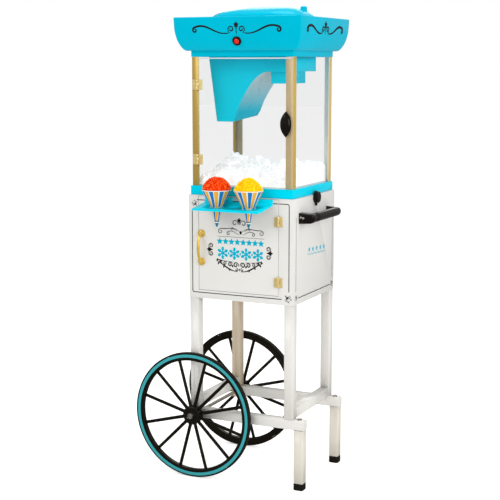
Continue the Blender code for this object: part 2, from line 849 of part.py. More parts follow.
def lens_outline(width, height, steps):
    """The outline that two equal arcs make, with a point at the top and at the bottom."""
    half = height / 2
    sagitta = width / 2
    radius = (half * half + sagitta * sagitta) / (2 * sagitta)
    spread = math.degrees(math.asin(half / radius))
    right = arc((sagitta - radius, 0.0), radius, -spread, spread, steps)
    left = arc((radius - sagitta, 0.0), radius, 180 - spread, 180 + spread, steps)
    return right[:-1] + left[:-1]


def make_glass_door_handle(face):
    """A black lens-shaped grip, domed to the front."""
    outline = lens_outline(GLASS_HANDLE_WIDTH, GLASS_HANDLE_HEIGHT, 8)
    sections = []
    for reach, scale in ((0.0, 0.96), (0.004, 1.0), (0.009, 0.86), (0.0125, 0.55), (0.0135, 0.2)):
        section = [
            (GLASS_HANDLE_X + scale * x, face - reach, GLASS_HANDLE_Z + scale * z)
            for x, z in outline
        ]
        sections.append(section)
    return loft("glass_door_handle", sections, "black_plastic", True)


def ice_height(x, y):
    """Heaps of shaved ice: a tall one under the chute and lower ones round it."""
    floor = PAN_FLOOR + GAP
    height = 0.0
    for heap_x, heap_y, spread, share in HEAPS:
        distance = ((x - heap_x) ** 2 + (y - heap_y) ** 2) / spread**2
        height = max(height, share * (ICE_PEAK - floor) * math.exp(-0.5 * distance))
    ripple = 0.003 * math.sin(61.0 * x + 2.0) * math.sin(53.0 * y)
    return floor + max(0.020, 0.024 + 0.80 * height + ripple)


def make_ice_pile():
    reach_x = RIM_X - RIM_WALL - 0.004
    reach_y = RIM_Y - RIM_WALL - 0.004
    shape = bmesh.new()
    bmesh.ops.create_grid(shape, x_segments=14, y_segments=13, size=1.0)
    for vert in shape.verts:
        x = vert.co.x * reach_x
        y = vert.co.y * reach_y
        vert.co = (x, y, ice_height(x, y))
    rim = [edge for edge in shape.edges if edge.is_boundary]
    skirt = bmesh.ops.extrude_edge_only(shape, edges=rim)["geom"]
    for vert in skirt:
        if isinstance(vert, bmesh.types.BMVert):
            vert.co.z = PAN_FLOOR + GAP
    low_edges = [edge for edge in shape.edges if edge.is_boundary]
    bmesh.ops.contextual_create(shape, geom=low_edges)
    add_part("ice_pile", mesh_from("ice_pile", shape), "ice")


# Hood


def hood_section(flare, height):
    return at_height(rounded_loop(NECK_X + flare, NECK_Y + flare, HOOD_CORNER, 2), height)


def make_hood():
    """Neck, flared crown and top deck in one moulding, open at the mouth and over the case."""
    ceiling = at_height(rounded_loop(0.1350, 0.0560, 0.012, 2, 0.0025), CASE_TOP)
    sections = [ceiling, hood_section(0.0, CASE_TOP), hood_section(0.0, NECK_TOP - 0.001)]
    sections += [hood_section(flare, height) for height, flare in CROWN]
    sections.append(hood_section(CROWN[-1][1] - 0.002, HOOD_TOP))
    sections.append(at_height(rounded_loop(MOUTH_X, MOUTH_Y, 0.020, 2), HOOD_TOP))
    hood = loft("hood_shell", sections, "teal_plastic")
    thicken(hood, MOULDING)
    inward = Vector((0.0, math.cos(SWITCH_TILT), math.sin(SWITCH_TILT)))
    cut(hood, rod_helper(switch_place(), BEZEL_RADIUS - 0.003 + GAP, 0.03, inward))


def switch_place():
    """Where the switch's axis meets the crown's front."""
    for (low, flare_low), (high, flare_high) in zip(CROWN, CROWN[1:]):
        if low <= SWITCH_Z <= high:
            share = (SWITCH_Z - low) / (high - low)
            flare = flare_low + share * (flare_high - flare_low)
    return Vector((0.0, -NECK_Y - flare, SWITCH_Z))


def make_switch():
    outward = Vector((0.0, -math.cos(SWITCH_TILT), -math.sin(SWITCH_TILT)))
    place = switch_place()
    barrel = BEZEL_RADIUS - 0.003
    bore = BUTTON_RADIUS + GAP
    ring = [(BEZEL_RADIUS - 0.001, 0.0042), (BEZEL_RADIUS, 0.0030), (BEZEL_RADIUS, 0.0014)]
    ring += [(barrel, 0.0014), (barrel, -0.0100), (bore, -0.0100), (bore, 0.0042)]
    turned("switch_bezel", ring, place, outward, "black_plastic")
    cap = [(0.0, 0.0072), (0.0045, 0.0066), (BUTTON_RADIUS, 0.0048)]
    cap += [(BUTTON_RADIUS, -0.0070), (0.0, -0.0070)]
    button = turned("power_button", cap, place, outward, "red_plastic")
    pivot("joint_power_button", place, (button,))


def make_hopper():
    """A tub that narrows from the mouth in the deck to a round throat over the blade."""
    top = HOOD_TOP + GAP + HOPPER_WALL
    inner_x = MOUTH_X - HOPPER_WALL - 2 * GAP
    inner_y = MOUTH_Y - HOPPER_WALL - 2 * GAP
    throat = BLADE_RADIUS + 0.002
    sections = (
        at_height(rounded_loop(MOUTH_X + 0.009, MOUTH_Y + 0.009, 0.030, 6), top),
        at_height(rounded_loop(inner_x, inner_y, 0.020, 6), top),
        at_height(rounded_loop(inner_x - 0.002, inner_y - 0.004, 0.030, 6), HOOD_TOP - 0.030),
        at_height(rounded_loop(0.0640, 0.0620, 0.0600, 6, 0.0600), HOPPER_LOW + 0.018),
        at_height(rounded_loop(throat, throat, throat - 0.0005, 6, BLADE_X), HOPPER_LOW),
    )
    hopper = loft("ice_hopper", sections, "white_plastic")
    thicken(hopper, HOPPER_WALL)


def make_lid():
    """A shallow dome over the mouth, steeper on its right, where a knob lifts it."""
    base = HOOD_TOP + 0.0004
    sections = []
    for rise, share, shift in LID_RISE:
        loop = rounded_loop(LID_X * share, LID_Y * share, 0.75 * LID_Y * share, 4, shift)
        sections.append(at_height(loop, base + rise))
    lid = loft("hopper_lid", sections, "teal_plastic")
    close_top(lid.data)
    thicken(lid, MOULDING)
    knob_low = base + 0.0100
    cut(lid, rod_helper((LID_KNOB_X, LID_KNOB_Y, knob_low + 0.02), LID_KNOB_RADIUS + GAP, 0.06, (0, 0, 1)))
    side = LID_KNOB_RADIUS
    profile = [(0.0, 0.0225), (0.6 * side, 0.0222), (0.9 * side, 0.0208), (side, 0.0185)]
    profile += [(side, 0.0), (0.0, 0.0)]
    place = (LID_KNOB_X, LID_KNOB_Y, knob_low)
    knob = turned("lid_knob", profile, place, (0, 0, 1), "teal_plastic")
    pivot("joint_hopper_lid", (-LID_X - 0.004, 0.0, base), (lid, knob))


def close_top(mesh):
    """Fills the highest open loop of a lofted surface."""
    shape = bmesh.new()
    shape.from_mesh(mesh)
    peak = max(vert.co.z for vert in shape.verts)
    rim = [edge for edge in shape.edges if edge.is_boundary and edge.verts[0].co.z > peak - 1e-6]
    bmesh.ops.contextual_create(shape, geom=rim)
    shape.to_mesh(mesh)
    shape.free()


def make_chute():
    """An elbow duct from the blade down to an open mouth over the ice."""
    sections = []
    for height, left, right in reversed(CHUTE):
        loop = rounded_loop((right - left) / 2, CHUTE_Y, 0.008, 3, (left + right) / 2)
        sections.append(at_height(loop, height))
    sections[-1] = [(x, y, z + MOUTH_TILT * (y + CHUTE_Y) / (2 * CHUTE_Y)) for x, y, z in sections[-1]]
    chute = loft("ice_chute", sections[::-1], "teal_plastic")
    thicken(chute, MOULDING)


def make_motor_housing():
    top = CASE_TOP - GAP
    wall = Vector((MOULDING, MOULDING, MOULDING))
    over = Vector((0.0, 0.0, 0.02))
    upper_low = Vector((HOUSING_LEFT, -CHUTE_Y + 0.001, HOUSING_STEP))
    upper_high = Vector((HOUSING_RIGHT, CHUTE_Y - 0.001, top))
    lower_low = Vector((HOUSING_LEFT, -HOUSING_LOW_Y, HOUSING_LOW))
    lower_high = Vector((HOUSING_LOW_RIGHT, HOUSING_LOW_Y, HOUSING_STEP + 0.001))
    housing = box("motor_housing", upper_low, upper_high, "teal_plastic")
    join(housing, box_helper(lower_low, lower_high))
    cut(housing, box_helper(upper_low + wall, upper_high - wall + over))
    cut(housing, box_helper(lower_low + wall, lower_high - wall + over))


def make_motor_and_blade():
    motor_low = HOUSING_LOW + 0.0040
    middle_z = (motor_low + MOTOR_TOP) / 2
    rod("motor", (BLADE_X, 0.0, middle_z), MOTOR_RADIUS, MOTOR_TOP - motor_low, (0, 0, 1), "steel")
    disc = rod("blade_disc", (BLADE_X, 0.0, BLADE_Z + 0.0015), BLADE_RADIUS, 0.003, (0, 0, 1), "steel", 32)
    shaft_low = MOTOR_TOP + GAP
    shaft_top = BLADE_Z + 0.001
    centre = (BLADE_X, 0.0, (shaft_low + shaft_top) / 2)
    join(disc, rod_helper(centre, 0.0040, shaft_top - shaft_low, (0, 0, 1), 16))
    for i in range(3):
        turn = 2 * math.pi * i / 3
        reach = 0.030
        place = Vector((BLADE_X + reach * math.cos(turn), reach * math.sin(turn), BLADE_Z + 0.0015))
        slot = box_helper((-0.018, -0.002, -0.004), (0.018, 0.002, 0.004))
        slot.location = place
        slot.rotation_euler = (0.0, 0.0, turn)
        cut(disc, slot)
    pivot("joint_blade", (BLADE_X, 0.0, BLADE_Z), (disc,))


def main():
    make_legs()
    make_rails()
    make_cross_rails()
    make_wheel("front", -1)
    make_wheel("rear", 1)
    make_axle()
    make_cabinet()
    cabinet_axis = (CABINET_HINGE_X, -CABINET_Y - 2 * GAP - KNUCKLE, DOOR_LOW)
    pivot("joint_cabinet_door", cabinet_axis, make_cabinet_door() + make_cabinet_hinges())
    make_snow_cones()
    make_push_handle()
    make_drain_knob()
    make_base_rim()
    make_ice_pan()
    make_posts()
    make_panes()
    glass_axis = (GLASS_HINGE_X, -POST_Y - 3 * GAP - PANE - KNUCKLE, GLASS_DOOR_LOW)
    pivot("joint_glass_door", glass_axis, make_glass_door() + make_glass_hinges())
    make_ice_pile()
    make_hood()
    make_switch()
    make_hopper()
    make_lid()
    make_chute()
    make_motor_housing()
    make_motor_and_blade()


main()
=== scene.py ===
"""Looks of the shaved ice cart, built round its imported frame.

Metres, +Z up, in the frame's own axes: the doors face -Y, the push handle is at +X and the wheels are at -X.
at(x, y, z) counts from the point on the floor under the middle of the cabinet.
"""

import itertools
import math
import random

import bmesh
import bpy
import numpy as np
from mathutils import Matrix, Vector, noise


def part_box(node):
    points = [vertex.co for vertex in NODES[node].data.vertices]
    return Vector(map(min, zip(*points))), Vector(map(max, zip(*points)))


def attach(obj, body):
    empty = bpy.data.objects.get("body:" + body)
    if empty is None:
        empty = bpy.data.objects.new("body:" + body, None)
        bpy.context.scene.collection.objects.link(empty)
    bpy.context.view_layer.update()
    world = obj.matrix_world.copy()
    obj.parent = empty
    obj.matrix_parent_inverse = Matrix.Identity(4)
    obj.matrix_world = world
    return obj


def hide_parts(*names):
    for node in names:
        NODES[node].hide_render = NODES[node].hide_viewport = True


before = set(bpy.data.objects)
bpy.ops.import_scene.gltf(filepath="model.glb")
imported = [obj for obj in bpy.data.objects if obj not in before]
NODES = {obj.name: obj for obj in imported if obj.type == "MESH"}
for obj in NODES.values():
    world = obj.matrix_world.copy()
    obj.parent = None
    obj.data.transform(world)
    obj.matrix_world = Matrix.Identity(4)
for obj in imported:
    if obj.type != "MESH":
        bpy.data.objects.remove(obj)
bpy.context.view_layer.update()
UP = Vector((0.0, 0.0, 1.0))
FRONT = (0, -1, 0)

SHELL_LOW, SHELL_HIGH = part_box("cabinet_shell")
MID = Vector(((SHELL_LOW.x + SHELL_HIGH.x) / 2, (SHELL_LOW.y + SHELL_HIGH.y) / 2, 0.0))
CABINET_X = SHELL_HIGH.x - MID.x
CABINET_Y = SHELL_HIGH.y - MID.y


def at(x, y, z):
    return MID + Vector((x, y, z))


def mm(*rows):
    """Rows in millimetres, as rows in metres."""
    return [tuple(number * 0.001 for number in row) for row in rows]


class Box:
    """A node's corners, middle and half sizes, counted from under the middle of the cabinet."""

    def __init__(self, node):
        low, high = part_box(node)
        self.low, self.high = low - MID, high - MID
        self.mid = (self.low + self.high) / 2
        self.half = (self.high - self.low) / 2


# Materials


def new_node(tree, kind, **values):
    node = tree.nodes.new("ShaderNode" + kind)
    for name, value in values.items():
        node.inputs[name.replace("_", " ")].default_value = value
    return node


class Look:
    """A Principled material that takes its colour, roughness and bump from noise in the frame's coordinates."""

    def __init__(self, name, color, roughness, metallic=0.0):
        self.material = bpy.data.materials.new(name)
        self.material.use_nodes = True
        self.tree = self.material.node_tree
        self.shader = self.tree.nodes["Principled BSDF"]
        self.color = color
        self.roughness = roughness
        self.place = self.tree.nodes.new("ShaderNodeTexCoord").outputs["Object"]
        self.set(Base_Color=(*color, 1.0), Roughness=roughness, Metallic=metallic)

    def set(self, **values):
        for name, value in values.items():
            self.shader.inputs[name.replace("_", " ")].default_value = value
        return self

    def link(self, source, socket):
        self.tree.links.new(source, socket)

    def noise(self, scale, detail=3.0, stretch=None):
        """Noise from 0 to 1. stretch gives the scale along each axis."""
        place = self.place
        if stretch:
            mapping = new_node(self.tree, "Mapping", Scale=stretch)
            self.link(self.place, mapping.inputs["Vector"])
            place = mapping.outputs["Vector"]
        texture = new_node(self.tree, "TexNoise", Scale=scale, Detail=detail)
        self.link(place, texture.inputs["Vector"])
        return texture.outputs["Fac"]

    def along(self, source, axis):
        """One coordinate of a place or a normal."""
        parts = new_node(self.tree, "SeparateXYZ")
        self.link(source, parts.inputs["Vector"])
        return parts.outputs[axis]

    def ranged(self, value, low, high, start=0.3, end=0.7):
        node = new_node(self.tree, "MapRange", From_Min=start, From_Max=end, To_Min=low, To_Max=high)
        self.link(value, node.inputs["Value"])
        return node.outputs["Result"]

    def tint(self, value, other, start=0.3, end=0.7):
        """Blends the base colour to another one as value rises."""
        mix = self.tree.nodes.new("ShaderNodeMix")
        mix.data_type = "RGBA"
        first, second = [socket for socket in mix.inputs if socket.type == "RGBA"]
        first.default_value = (*self.color, 1.0)
        second.default_value = (*other, 1.0)
        base = self.shader.inputs["Base Color"]
        if base.is_linked:
            self.link(base.links[0].from_socket, first)
        self.link(self.ranged(value, 0.0, 1.0, start, end), mix.inputs["Factor"])
        self.link(next(socket for socket in mix.outputs if socket.type == "RGBA"), base)
        return self

    def shade(self, value, amount):
        return self.tint(value, [channel * (1.0 - amount) for channel in self.color])

    def rough(self, value, spread):
        low = max(0.02, self.roughness - spread)
        self.link(self.ranged(value, low, self.roughness + spread), self.shader.inputs["Roughness"])
        return self

    def bump(self, value, depth, strength):
        """Raises the surface by up to depth metres."""
        node = new_node(self.tree, "Bump", Strength=strength, Distance=depth)
        self.link(value, node.inputs["Height"])
        self.link(node.outputs["Normal"], self.shader.inputs["Normal"])
        return self


def enamel(name, color, roughness=0.30, gloss=0.12):
    """Powder-coated steel: a faint orange peel, and patches a little duller than the rest."""
    look = Look(name, color, roughness).set(Coat_Weight=gloss, Coat_Roughness=0.10)
    look.shade(look.noise(5.0, 2.0), 0.02).rough(look.noise(7.0, 1.0), 0.02)
    return look.bump(look.noise(420.0, 1.0), 0.00003, 0.4)


def moulded(name, color, roughness=0.2, grain=0.00003):
    look = Look(name, color, roughness)
    look.shade(look.noise(9.0, 3.0), 0.05).rough(look.noise(40.0, 4.0), 0.05)
    return look.bump(look.noise(900.0, 2.0), grain, 0.5)


def brushed(name, color, roughness, metallic, stretch):
    look = Look(name, color, roughness, metallic)
    lines = look.noise(1.0, 5.0, stretch)
    return look.shade(lines, 0.16).rough(lines, 0.09).bump(lines, 0.00003, 0.5)


# Tinted reflections keep the colour deep under a white sky
TEAL_GLOSS = {"Specular_IOR_Level": 0.18, "Specular_Tint": (0.05, 0.80, 1.0, 1.0), "Coat_Weight": 0.0}
DEEP_BLACK = {"Specular_IOR_Level": 0.22, "Specular_Tint": (1.0, 0.88, 0.70, 1.0), "Coat_Weight": 0.0}
POLISH = (60.0, 60.0, 60.0)
DRAWN = (420.0, 420.0, 5.0)
LOOKS = {}


def keep(name, slot, look, **values):
    """Files a look under a name. slot, the record's material slot that it belongs to, is not used."""
    LOOKS[name] = look.set(**values).material


def make_paints():
    keep("cabinet", "white_paint", enamel("cabinet_enamel", (0.79, 0.775, 0.74)))
    keep("frame", "cream_paint", enamel("frame_enamel", (0.80, 0.78, 0.735), 0.3))
    # A browner, darker copy of the frame enamel for the rear left leg: painted shade.
    keep("frame_painted_shade", "cream_paint", enamel("frame_painted_shade", (0.60, 0.50, 0.37), 0.3))
    keep("foot", "cream_paint", enamel("foot_enamel", (0.76, 0.72, 0.62), 0.3))
    keep("teal", "teal_plastic", moulded("teal_plastic", (0.0, 0.49, 0.67)), **TEAL_GLOSS)
    # A lighter copy of the teal plastic for the base rim, motor housing, chute and shelf lip: painted light.
    keep("teal_painted_light", "teal_plastic", moulded("teal_painted_light", (0.0, 0.68, 0.88)), **TEAL_GLOSS)
    # A still lighter teal for the shelf sheet and its hole rims: painted light from above.
    keep("teal_sheet_painted_light", "teal_plastic", enamel("teal_enamel_painted_light", (0.0, 0.78, 0.97), 0.24), **TEAL_GLOSS)
    # A dark grey teal for the shelf's underside: painted shade, which also keeps teal bounce light off the
    # door.
    keep("teal_under_painted_shade", "teal_plastic", enamel("underside_teal_painted_shade", (0.22, 0.36, 0.40), 0.5, 0.0))
    keep("black", "black_plastic", moulded("black_plastic", (0.006, 0.005, 0.004), 0.16), **DEEP_BLACK)
    keep("black_paint", "black_metal", enamel("black_enamel", (0.006, 0.005, 0.003), 0.3), **DEEP_BLACK)
    keep("edge_strip", "clear_pane", moulded("edge_strip", (0.66, 0.72, 0.74), 0.4))
    keep("white", "white_plastic", moulded("white_plastic", (0.84, 0.84, 0.85), 0.35, 0.00006))
    keep("stripe", "black_metal", enamel("wheel_stripe", (0.05, 0.37, 0.40), 0.34), **TEAL_GLOSS)
    keep("ink", "white_paint", enamel("black_ink", (0.008, 0.010, 0.011), 0.42), **DEEP_BLACK)
    keep("teal_ink", "white_paint", enamel("teal_ink", (0.0, 0.44, 0.60), 0.4), **TEAL_GLOSS)
    red = moulded("red_lens", (0.80, 0.022, 0.010), 0.16)
    keep("red", "red_plastic", red, Subsurface_Weight=0.25, Subsurface_Scale=0.004)
    # The throat look pales from teal to grey-white going up: a painted reflection of the ice.
    throat = moulded("chute_throat_painted_reflection", (0.0, 0.50, 0.67), 0.3)
    throat.tint(throat.along(throat.place, "Z"), (0.60, 0.68, 0.70), 1.075, 1.185)
    keep("throat", "teal_plastic", throat, **TEAL_GLOSS)


def make_metals():
    keep("pull_brass", "brass", brushed("pull_brass", (0.92, 0.62, 0.12), 0.22, 0.42, POLISH))
    keep("gold", "brass", brushed("gold_anodised", (0.62, 0.415, 0.09), 0.36, 0.4, DRAWN))
    keep("brass", "brass", brushed("polished_brass", (0.97, 0.76, 0.32), 0.26, 0.40, POLISH))
    keep("steel", "steel", brushed("zinc_plate", (0.66, 0.63, 0.56), 0.28, 1.0, (130.0, 130.0, 130.0)))
    # Copies of the gold post whose faces towards the front are tinted: on the front right post a painted
    # reflection of the door pane, on the rear left post painted shade with that pane reflection, and on the
    # rear right post a pale painted reflection.
    for name, color in (
        ("gold_right_painted_reflection", (0.62, 0.47, 0.25)),
        ("gold_rear_painted_shade_and_reflection", (0.46, 0.40, 0.26)),
        ("gold_far_painted_reflection_and_glow", (0.95, 0.97, 0.92)),
    ):
        post = brushed(name, (0.68, 0.46, 0.10), 0.36, 0.15, DRAWN)
        normal = post.tree.nodes.new("ShaderNodeNewGeometry").outputs["Normal"]
        post.tint(post.along(normal, "Y"), color, -0.6, -0.9)
        # A faint painted glow on the rear right post.
        glow = 0.10 if name == "gold_far_painted_reflection_and_glow" else 0.0
        keep(name, "brass", post, Emission_Color=(0.85, 0.95, 0.95, 1.0), Emission_Strength=glow)


def make_soft_looks():
    rubber = Look("rubber", (0.009, 0.008, 0.006), 0.62)
    rubber.shade(rubber.noise(60.0, 5.0), 0.3).rough(rubber.noise(30.0, 4.0), 0.12)
    keep("rubber", "black_rubber", rubber.bump(rubber.noise(700.0, 3.0), 0.00012, 0.6), **DEEP_BLACK)
    pane = Look("clear_pane", (0.10, 0.11, 0.115), 0.05)
    keep("pane", "clear_pane", pane.rough(pane.noise(14.0, 3.0), 0.02), Alpha=0.05, Specular_IOR_Level=0.5)
    rim = Look("pane_rim", (0.70, 0.72, 0.72), 0.3)
    keep("pane_rim", "clear_pane", rim.rough(rim.noise(40.0, 3.0), 0.1), Alpha=0.28)
    snow = Look("shaved_ice", (0.87, 0.875, 0.875), 0.7)
    snow.tint(snow.noise(34.0, 5.0), (1.0, 1.0, 1.0), 0.36, 0.62).rough(snow.noise(160.0, 3.0), 0.2)
    snow.bump(snow.noise(300.0, 5.0), 0.0012, 0.45).set(Specular_IOR_Level=0.2)
    # The emission is a painted glow that lifts the ice sitting in the hood's shade.
    keep("snow", "ice", snow, Emission_Strength=0.29, Emission_Color=(1.0, 0.99, 0.98, 1.0))
    # Each ice look is tinted towards a deeper tone in random patches; the two darker looks are a deeper syrup
    # tone that also serves as painted shade on the mounds.
    for name, color, deep in (
        ("red_ice", (1.0, 0.165, 0.012), (0.95, 0.085, 0.006)),
        ("red_ice_deep_painted_shade", (0.90, 0.045, 0.004), (0.72, 0.016, 0.002)),
        ("yellow_ice", (1.0, 0.86, 0.020), (1.0, 0.74, 0.008)),
        ("yellow_ice_deep_painted_shade", (1.0, 0.66, 0.005), (0.98, 0.50, 0.003)),
    ):
        syrup = Look(name, color, 0.16)
        syrup.tint(syrup.noise(95.0, 4.0), deep).rough(syrup.noise(300.0, 2.0), 0.10)
        syrup.bump(syrup.noise(700.0, 4.0), 0.0004, 0.6).set(Coat_Weight=0.08, Coat_Roughness=0.05)
        # The emission is a painted glow in the syrup's own colour.
        glow = {"Emission_Strength": 0.10, "Emission_Color": (*color, 1.0)}
        keep(name, "paper", syrup, Specular_Tint=(*color, 1.0), **glow)
    for name, color in (
        ("paper_blue", (0.006, 0.19, 0.55)),
        ("paper_orange", (0.95, 0.43, 0.030)),
        ("paper_white", (0.90, 0.87, 0.80)),
        ("paper_tip", (0.004, 0.17, 0.30)),
    ):
        paper = Look(name, color, 0.48)
        paper.shade(paper.noise(180.0, 6.0, (1.0, 1.0, 0.35)), 0.08).rough(paper.noise(300.0, 3.0), 0.07)
        keep(name, "paper", paper.bump(paper.noise(650.0, 5.0), 0.00006, 0.6), Specular_IOR_Level=0.25)


# Shapes


class Shape:
    """Points and faces that become one piece. Each face keeps the look it was added with."""

    def __init__(self):
        self.points = []
        self.faces = []
        self.looks = []

    def add(self, part, look, matrix=None):
        points, faces = part
        start = len(self.points)
        self.points += [matrix @ Vector(point) if matrix else Vector(point) for point in points]
        self.faces += [tuple(start + i for i in face) for face in faces]
        self.looks += [look] * len(faces)
        return self

    def piece(self, name, body, replaced=(), angle=38.0, slot=None):
        mesh = bpy.data.meshes.new(name)
        mesh.from_pydata([tuple(point) for point in self.points], [], self.faces)
        used = list(dict.fromkeys(self.looks))
        for look in used:
            mesh.materials.append(LOOKS[look])
        mesh.polygons.foreach_set("material_index", [used.index(look) for look in self.looks])
        shape = bmesh.new()
        shape.from_mesh(mesh)
        bmesh.ops.recalc_face_normals(shape, faces=shape.faces)
        shape.to_mesh(mesh)
        shape.free()
        mesh.shade_smooth()
        mesh.set_sharp_from_angle(angle=math.radians(angle))
        made = bpy.data.objects.new(name, mesh)
        bpy.context.scene.collection.objects.link(made)
        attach(made, body)
        if replaced:
            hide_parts(*replaced)
        return made


def modify(part, name, kind, **values):
    modifier = part.modifiers.new(name, kind)
    for key, value in values.items():
        setattr(modifier, key, value)


def quads(rows, columns, closed_rows, closed_columns=True):
    """Faces over a grid of points, stored row by row."""
    faces = []
    for i in range(rows if closed_rows else rows - 1):
        for j in range(columns if closed_columns else columns - 1):
            k = (i + 1) % rows
            m = (j + 1) % columns
            faces.append((i * columns + j, i * columns + m, k * columns + m, k * columns + j))
    return faces


def loft(loops, cap_start=False, cap_end=False, closed=False):
    """Joins loops that have the same count of points."""
    columns = len(loops[0])
    points = [point for loop in loops for point in loop]
    faces = quads(len(loops), columns, closed)
    if cap_start:
        faces.append(tuple(reversed(range(columns))))
    if cap_end:
        faces.append(tuple(range(len(points) - columns, len(points))))
    return points, faces


def lathe(profile, steps, closed=False, ripple=None):
    """Turns (radius, height) points about Z. A closed profile makes a ring."""
    loops = []
    for radius, height in profile:
        loop = []
        for i in range(steps):
            turn = 2 * math.pi * i / steps
            reach = max(radius, 1e-5) * (ripple(turn, height) if ripple else 1.0)
            loop.append(Vector((reach * math.cos(turn), reach * math.sin(turn), height)))
        loops.append(loop)
    return loft(loops, not closed, not closed, closed)


def rounded(outline, radius, steps=4):
    """Rounds each inner corner of an open list of 2D points by up to radius."""
    made = [tuple(outline[0])]
    for before, corner, after in zip(outline, outline[1:], outline[2:]):
        before, corner, after = Vector(before), Vector(corner), Vector(after)
        reach = min(radius, 0.49 * (corner - before).length, 0.49 * (after - corner).length)
        start = corner + (before - corner).normalized() * reach
        end = corner + (after - corner).normalized() * reach
        for k in range(steps + 1):
            t = k / steps
            made.append(tuple((1 - t) ** 2 * start + 2 * t * (1 - t) * corner + t * t * end))
    return made + [tuple(outline[-1])]


def arc(centre, radius, start, end, steps):
    turns = [math.radians(start + (end - start) * i / steps) for i in range(steps + 1)]
    return [(centre[0] + radius * math.cos(t), centre[1] + radius * math.sin(t)) for t in turns]


def two_sided_loop(left, right, half_y, left_radius, right_radius, steps):
    """A rounded rectangle whose corners at the left have one radius and those at the right another."""
    points = arc((right - right_radius, half_y - right_radius), right_radius, 0, 90, steps)
    points += arc((left + left_radius, half_y - left_radius), left_radius, 90, 180, steps)
    points += arc((left + left_radius, left_radius - half_y), left_radius, 180, 270, steps)
    return points + arc((right - right_radius, right_radius - half_y), right_radius, 270, 360, steps)


def rounded_loop(half_x, half_y, radius, steps, centre_x=0.0, centre_y=0.0):
    loop = two_sided_loop(-half_x, half_x, half_y, radius, radius, steps)
    return [(centre_x + x, centre_y + y) for x, y in loop]


def curve_through(rows, steps):
    """A smooth curve through rows of numbers, with steps points between each two."""
    made = []
    for i in range(len(rows) - 1):
        quad = [rows[max(0, min(len(rows) - 1, i + k))] for k in (-1, 0, 1, 2)]
        for t in (k / steps for k in range(steps)):
            weights = (-t + 2 * t**2 - t**3, 2 - 5 * t**2 + 3 * t**3, t + 4 * t**2 - 3 * t**3, t**3 - t**2)
            pairs = list(zip(weights, quad))
            made.append(tuple(sum(w / 2 * row[n] for w, row in pairs) for n in range(len(rows[0]))))
    return made + [tuple(rows[-1])]


def level(loop, height):
    return [at(x, y, height) for x, y in loop]


def tube(points, radii, sides):
    """A round bar along a path, with one radius for each point."""
    tangent = (points[1] - points[0]).normalized()
    across = tangent.orthogonal().normalized()
    turns = [2 * math.pi * k / sides for k in range(sides)]
    loops = []
    for i, point in enumerate(points):
        ahead = points[min(i + 1, len(points) - 1)] - points[max(i - 1, 0)]
        turned = ahead.normalized()
        across = tangent.rotation_difference(turned) @ across
        tangent = turned
        other = tangent.cross(across)
        loops.append([point + radii[i] * (across * math.cos(t) + other * math.sin(t)) for t in turns])
    return loft(loops, True, True)


def mesh_of(shape):
    """The points and faces of a bmesh, which it frees."""
    shape.verts.index_update()
    points = [vert.co.copy() for vert in shape.verts]
    faces = [tuple(vert.index for vert in face.verts) for face in shape.faces]
    shape.free()
    return points, faces


def block(low, high, bevel, segments):
    """A box with rounded edges."""
    shape = bmesh.new()
    bmesh.ops.create_cube(shape, size=1.0)
    bmesh.ops.scale(shape, vec=high - low, verts=shape.verts)
    bmesh.ops.bevel(shape, geom=shape.edges[:], offset=bevel, segments=segments, affect="EDGES", profile=0.5)
    bmesh.ops.translate(shape, vec=(low + high) / 2, verts=shape.verts)
    return mesh_of(shape)


def crumb(radius):
    shape = bmesh.new()
    bmesh.ops.create_icosphere(shape, subdivisions=1, radius=radius)
    return mesh_of(shape)


def turn_to(axis, place):
    """Carries +Z to axis, and the origin to place."""
    return Matrix.Translation(place) @ UP.rotation_difference(Vector(axis)).to_matrix().to_4x4()


# Carried-over CAD parts: each gets a look and welded points, and most get small rounded edges


def dress(names, look, edge, segments=2):
    bend = math.radians(35.0)
    for part in (NODES[name] for name in names.split()):
        part.data.materials.clear()
        part.data.materials.append(LOOKS[look])
        modify(part, "weld", "WELD", merge_threshold=0.00001)
        if edge:
            rules = {"limit_method": "ANGLE", "angle_limit": bend, "harden_normals": True}
            modify(part, "rounded edges", "BEVEL", width=edge, segments=segments, **rules)
        part.data.shade_smooth()
        part.data.set_sharp_from_angle(angle=bend)


def dress_frame():
    hinges = " ".join(name for name in NODES if "_hinge_" in name)
    for row in (
        ("cabinet_shell", "cabinet", 0.0007, 3),
        ("cabinet_door", "cabinet", 0.0012, 3),
        ("leg_front_left leg_front_right leg_rear_right", "frame", 0.0),
        # The rear left leg takes the darker copy of the frame enamel: painted shade.
        ("leg_rear_left", "frame_painted_shade", 0.0),
        ("lower_rail_front lower_rail_rear cross_rail_left cross_rail_right", "frame", 0.0),
        ("foot_post_front foot_post_rear", "foot", 0.0),
        # The base rim and motor housing take the lighter copy of the teal: painted light.
        ("base_rim motor_housing", "teal_painted_light", 0.0014, 3),
        ("ice_pan ice_hopper", "white", 0.0004),
        ("post_front_left", "gold", 0.0004),
        # The three posts behind panes take the tinted gold copies: painted reflection and shade.
        ("post_front_right", "gold_right_painted_reflection", 0.0004),
        ("post_rear_left", "gold_rear_painted_shade_and_reflection", 0.0004),
        ("post_rear_right", "gold_far_painted_reflection_and_glow", 0.0004),
        (hinges, "brass", 0.00035),
        ("axle_nut_front axle_nut_rear", "steel", 0.0006),
        ("motor blade_disc magnet_catch axle", "steel", 0.0004),
    ):
        dress(*row)


def wall(part, thickness, **values):
    """Gives a sheet its thickness, on the inner side."""
    modify(part, "wall", "SOLIDIFY", **{"thickness": thickness, "offset": -1.0, **values})


def make(name, body, part, look, replaced=(), angle=38.0, matrix=None):
    return Shape().add(part, look, matrix).piece(name, body, replaced, angle)


# Hood, lid and chute

HOOD = Box("hood_shell")
HOOD_LOW = HOOD.low.z
HOOD_TOP = HOOD.high.z
NECK_X = 0.1600
NECK_Y = 0.1450
NECK_TOP = 1.2480
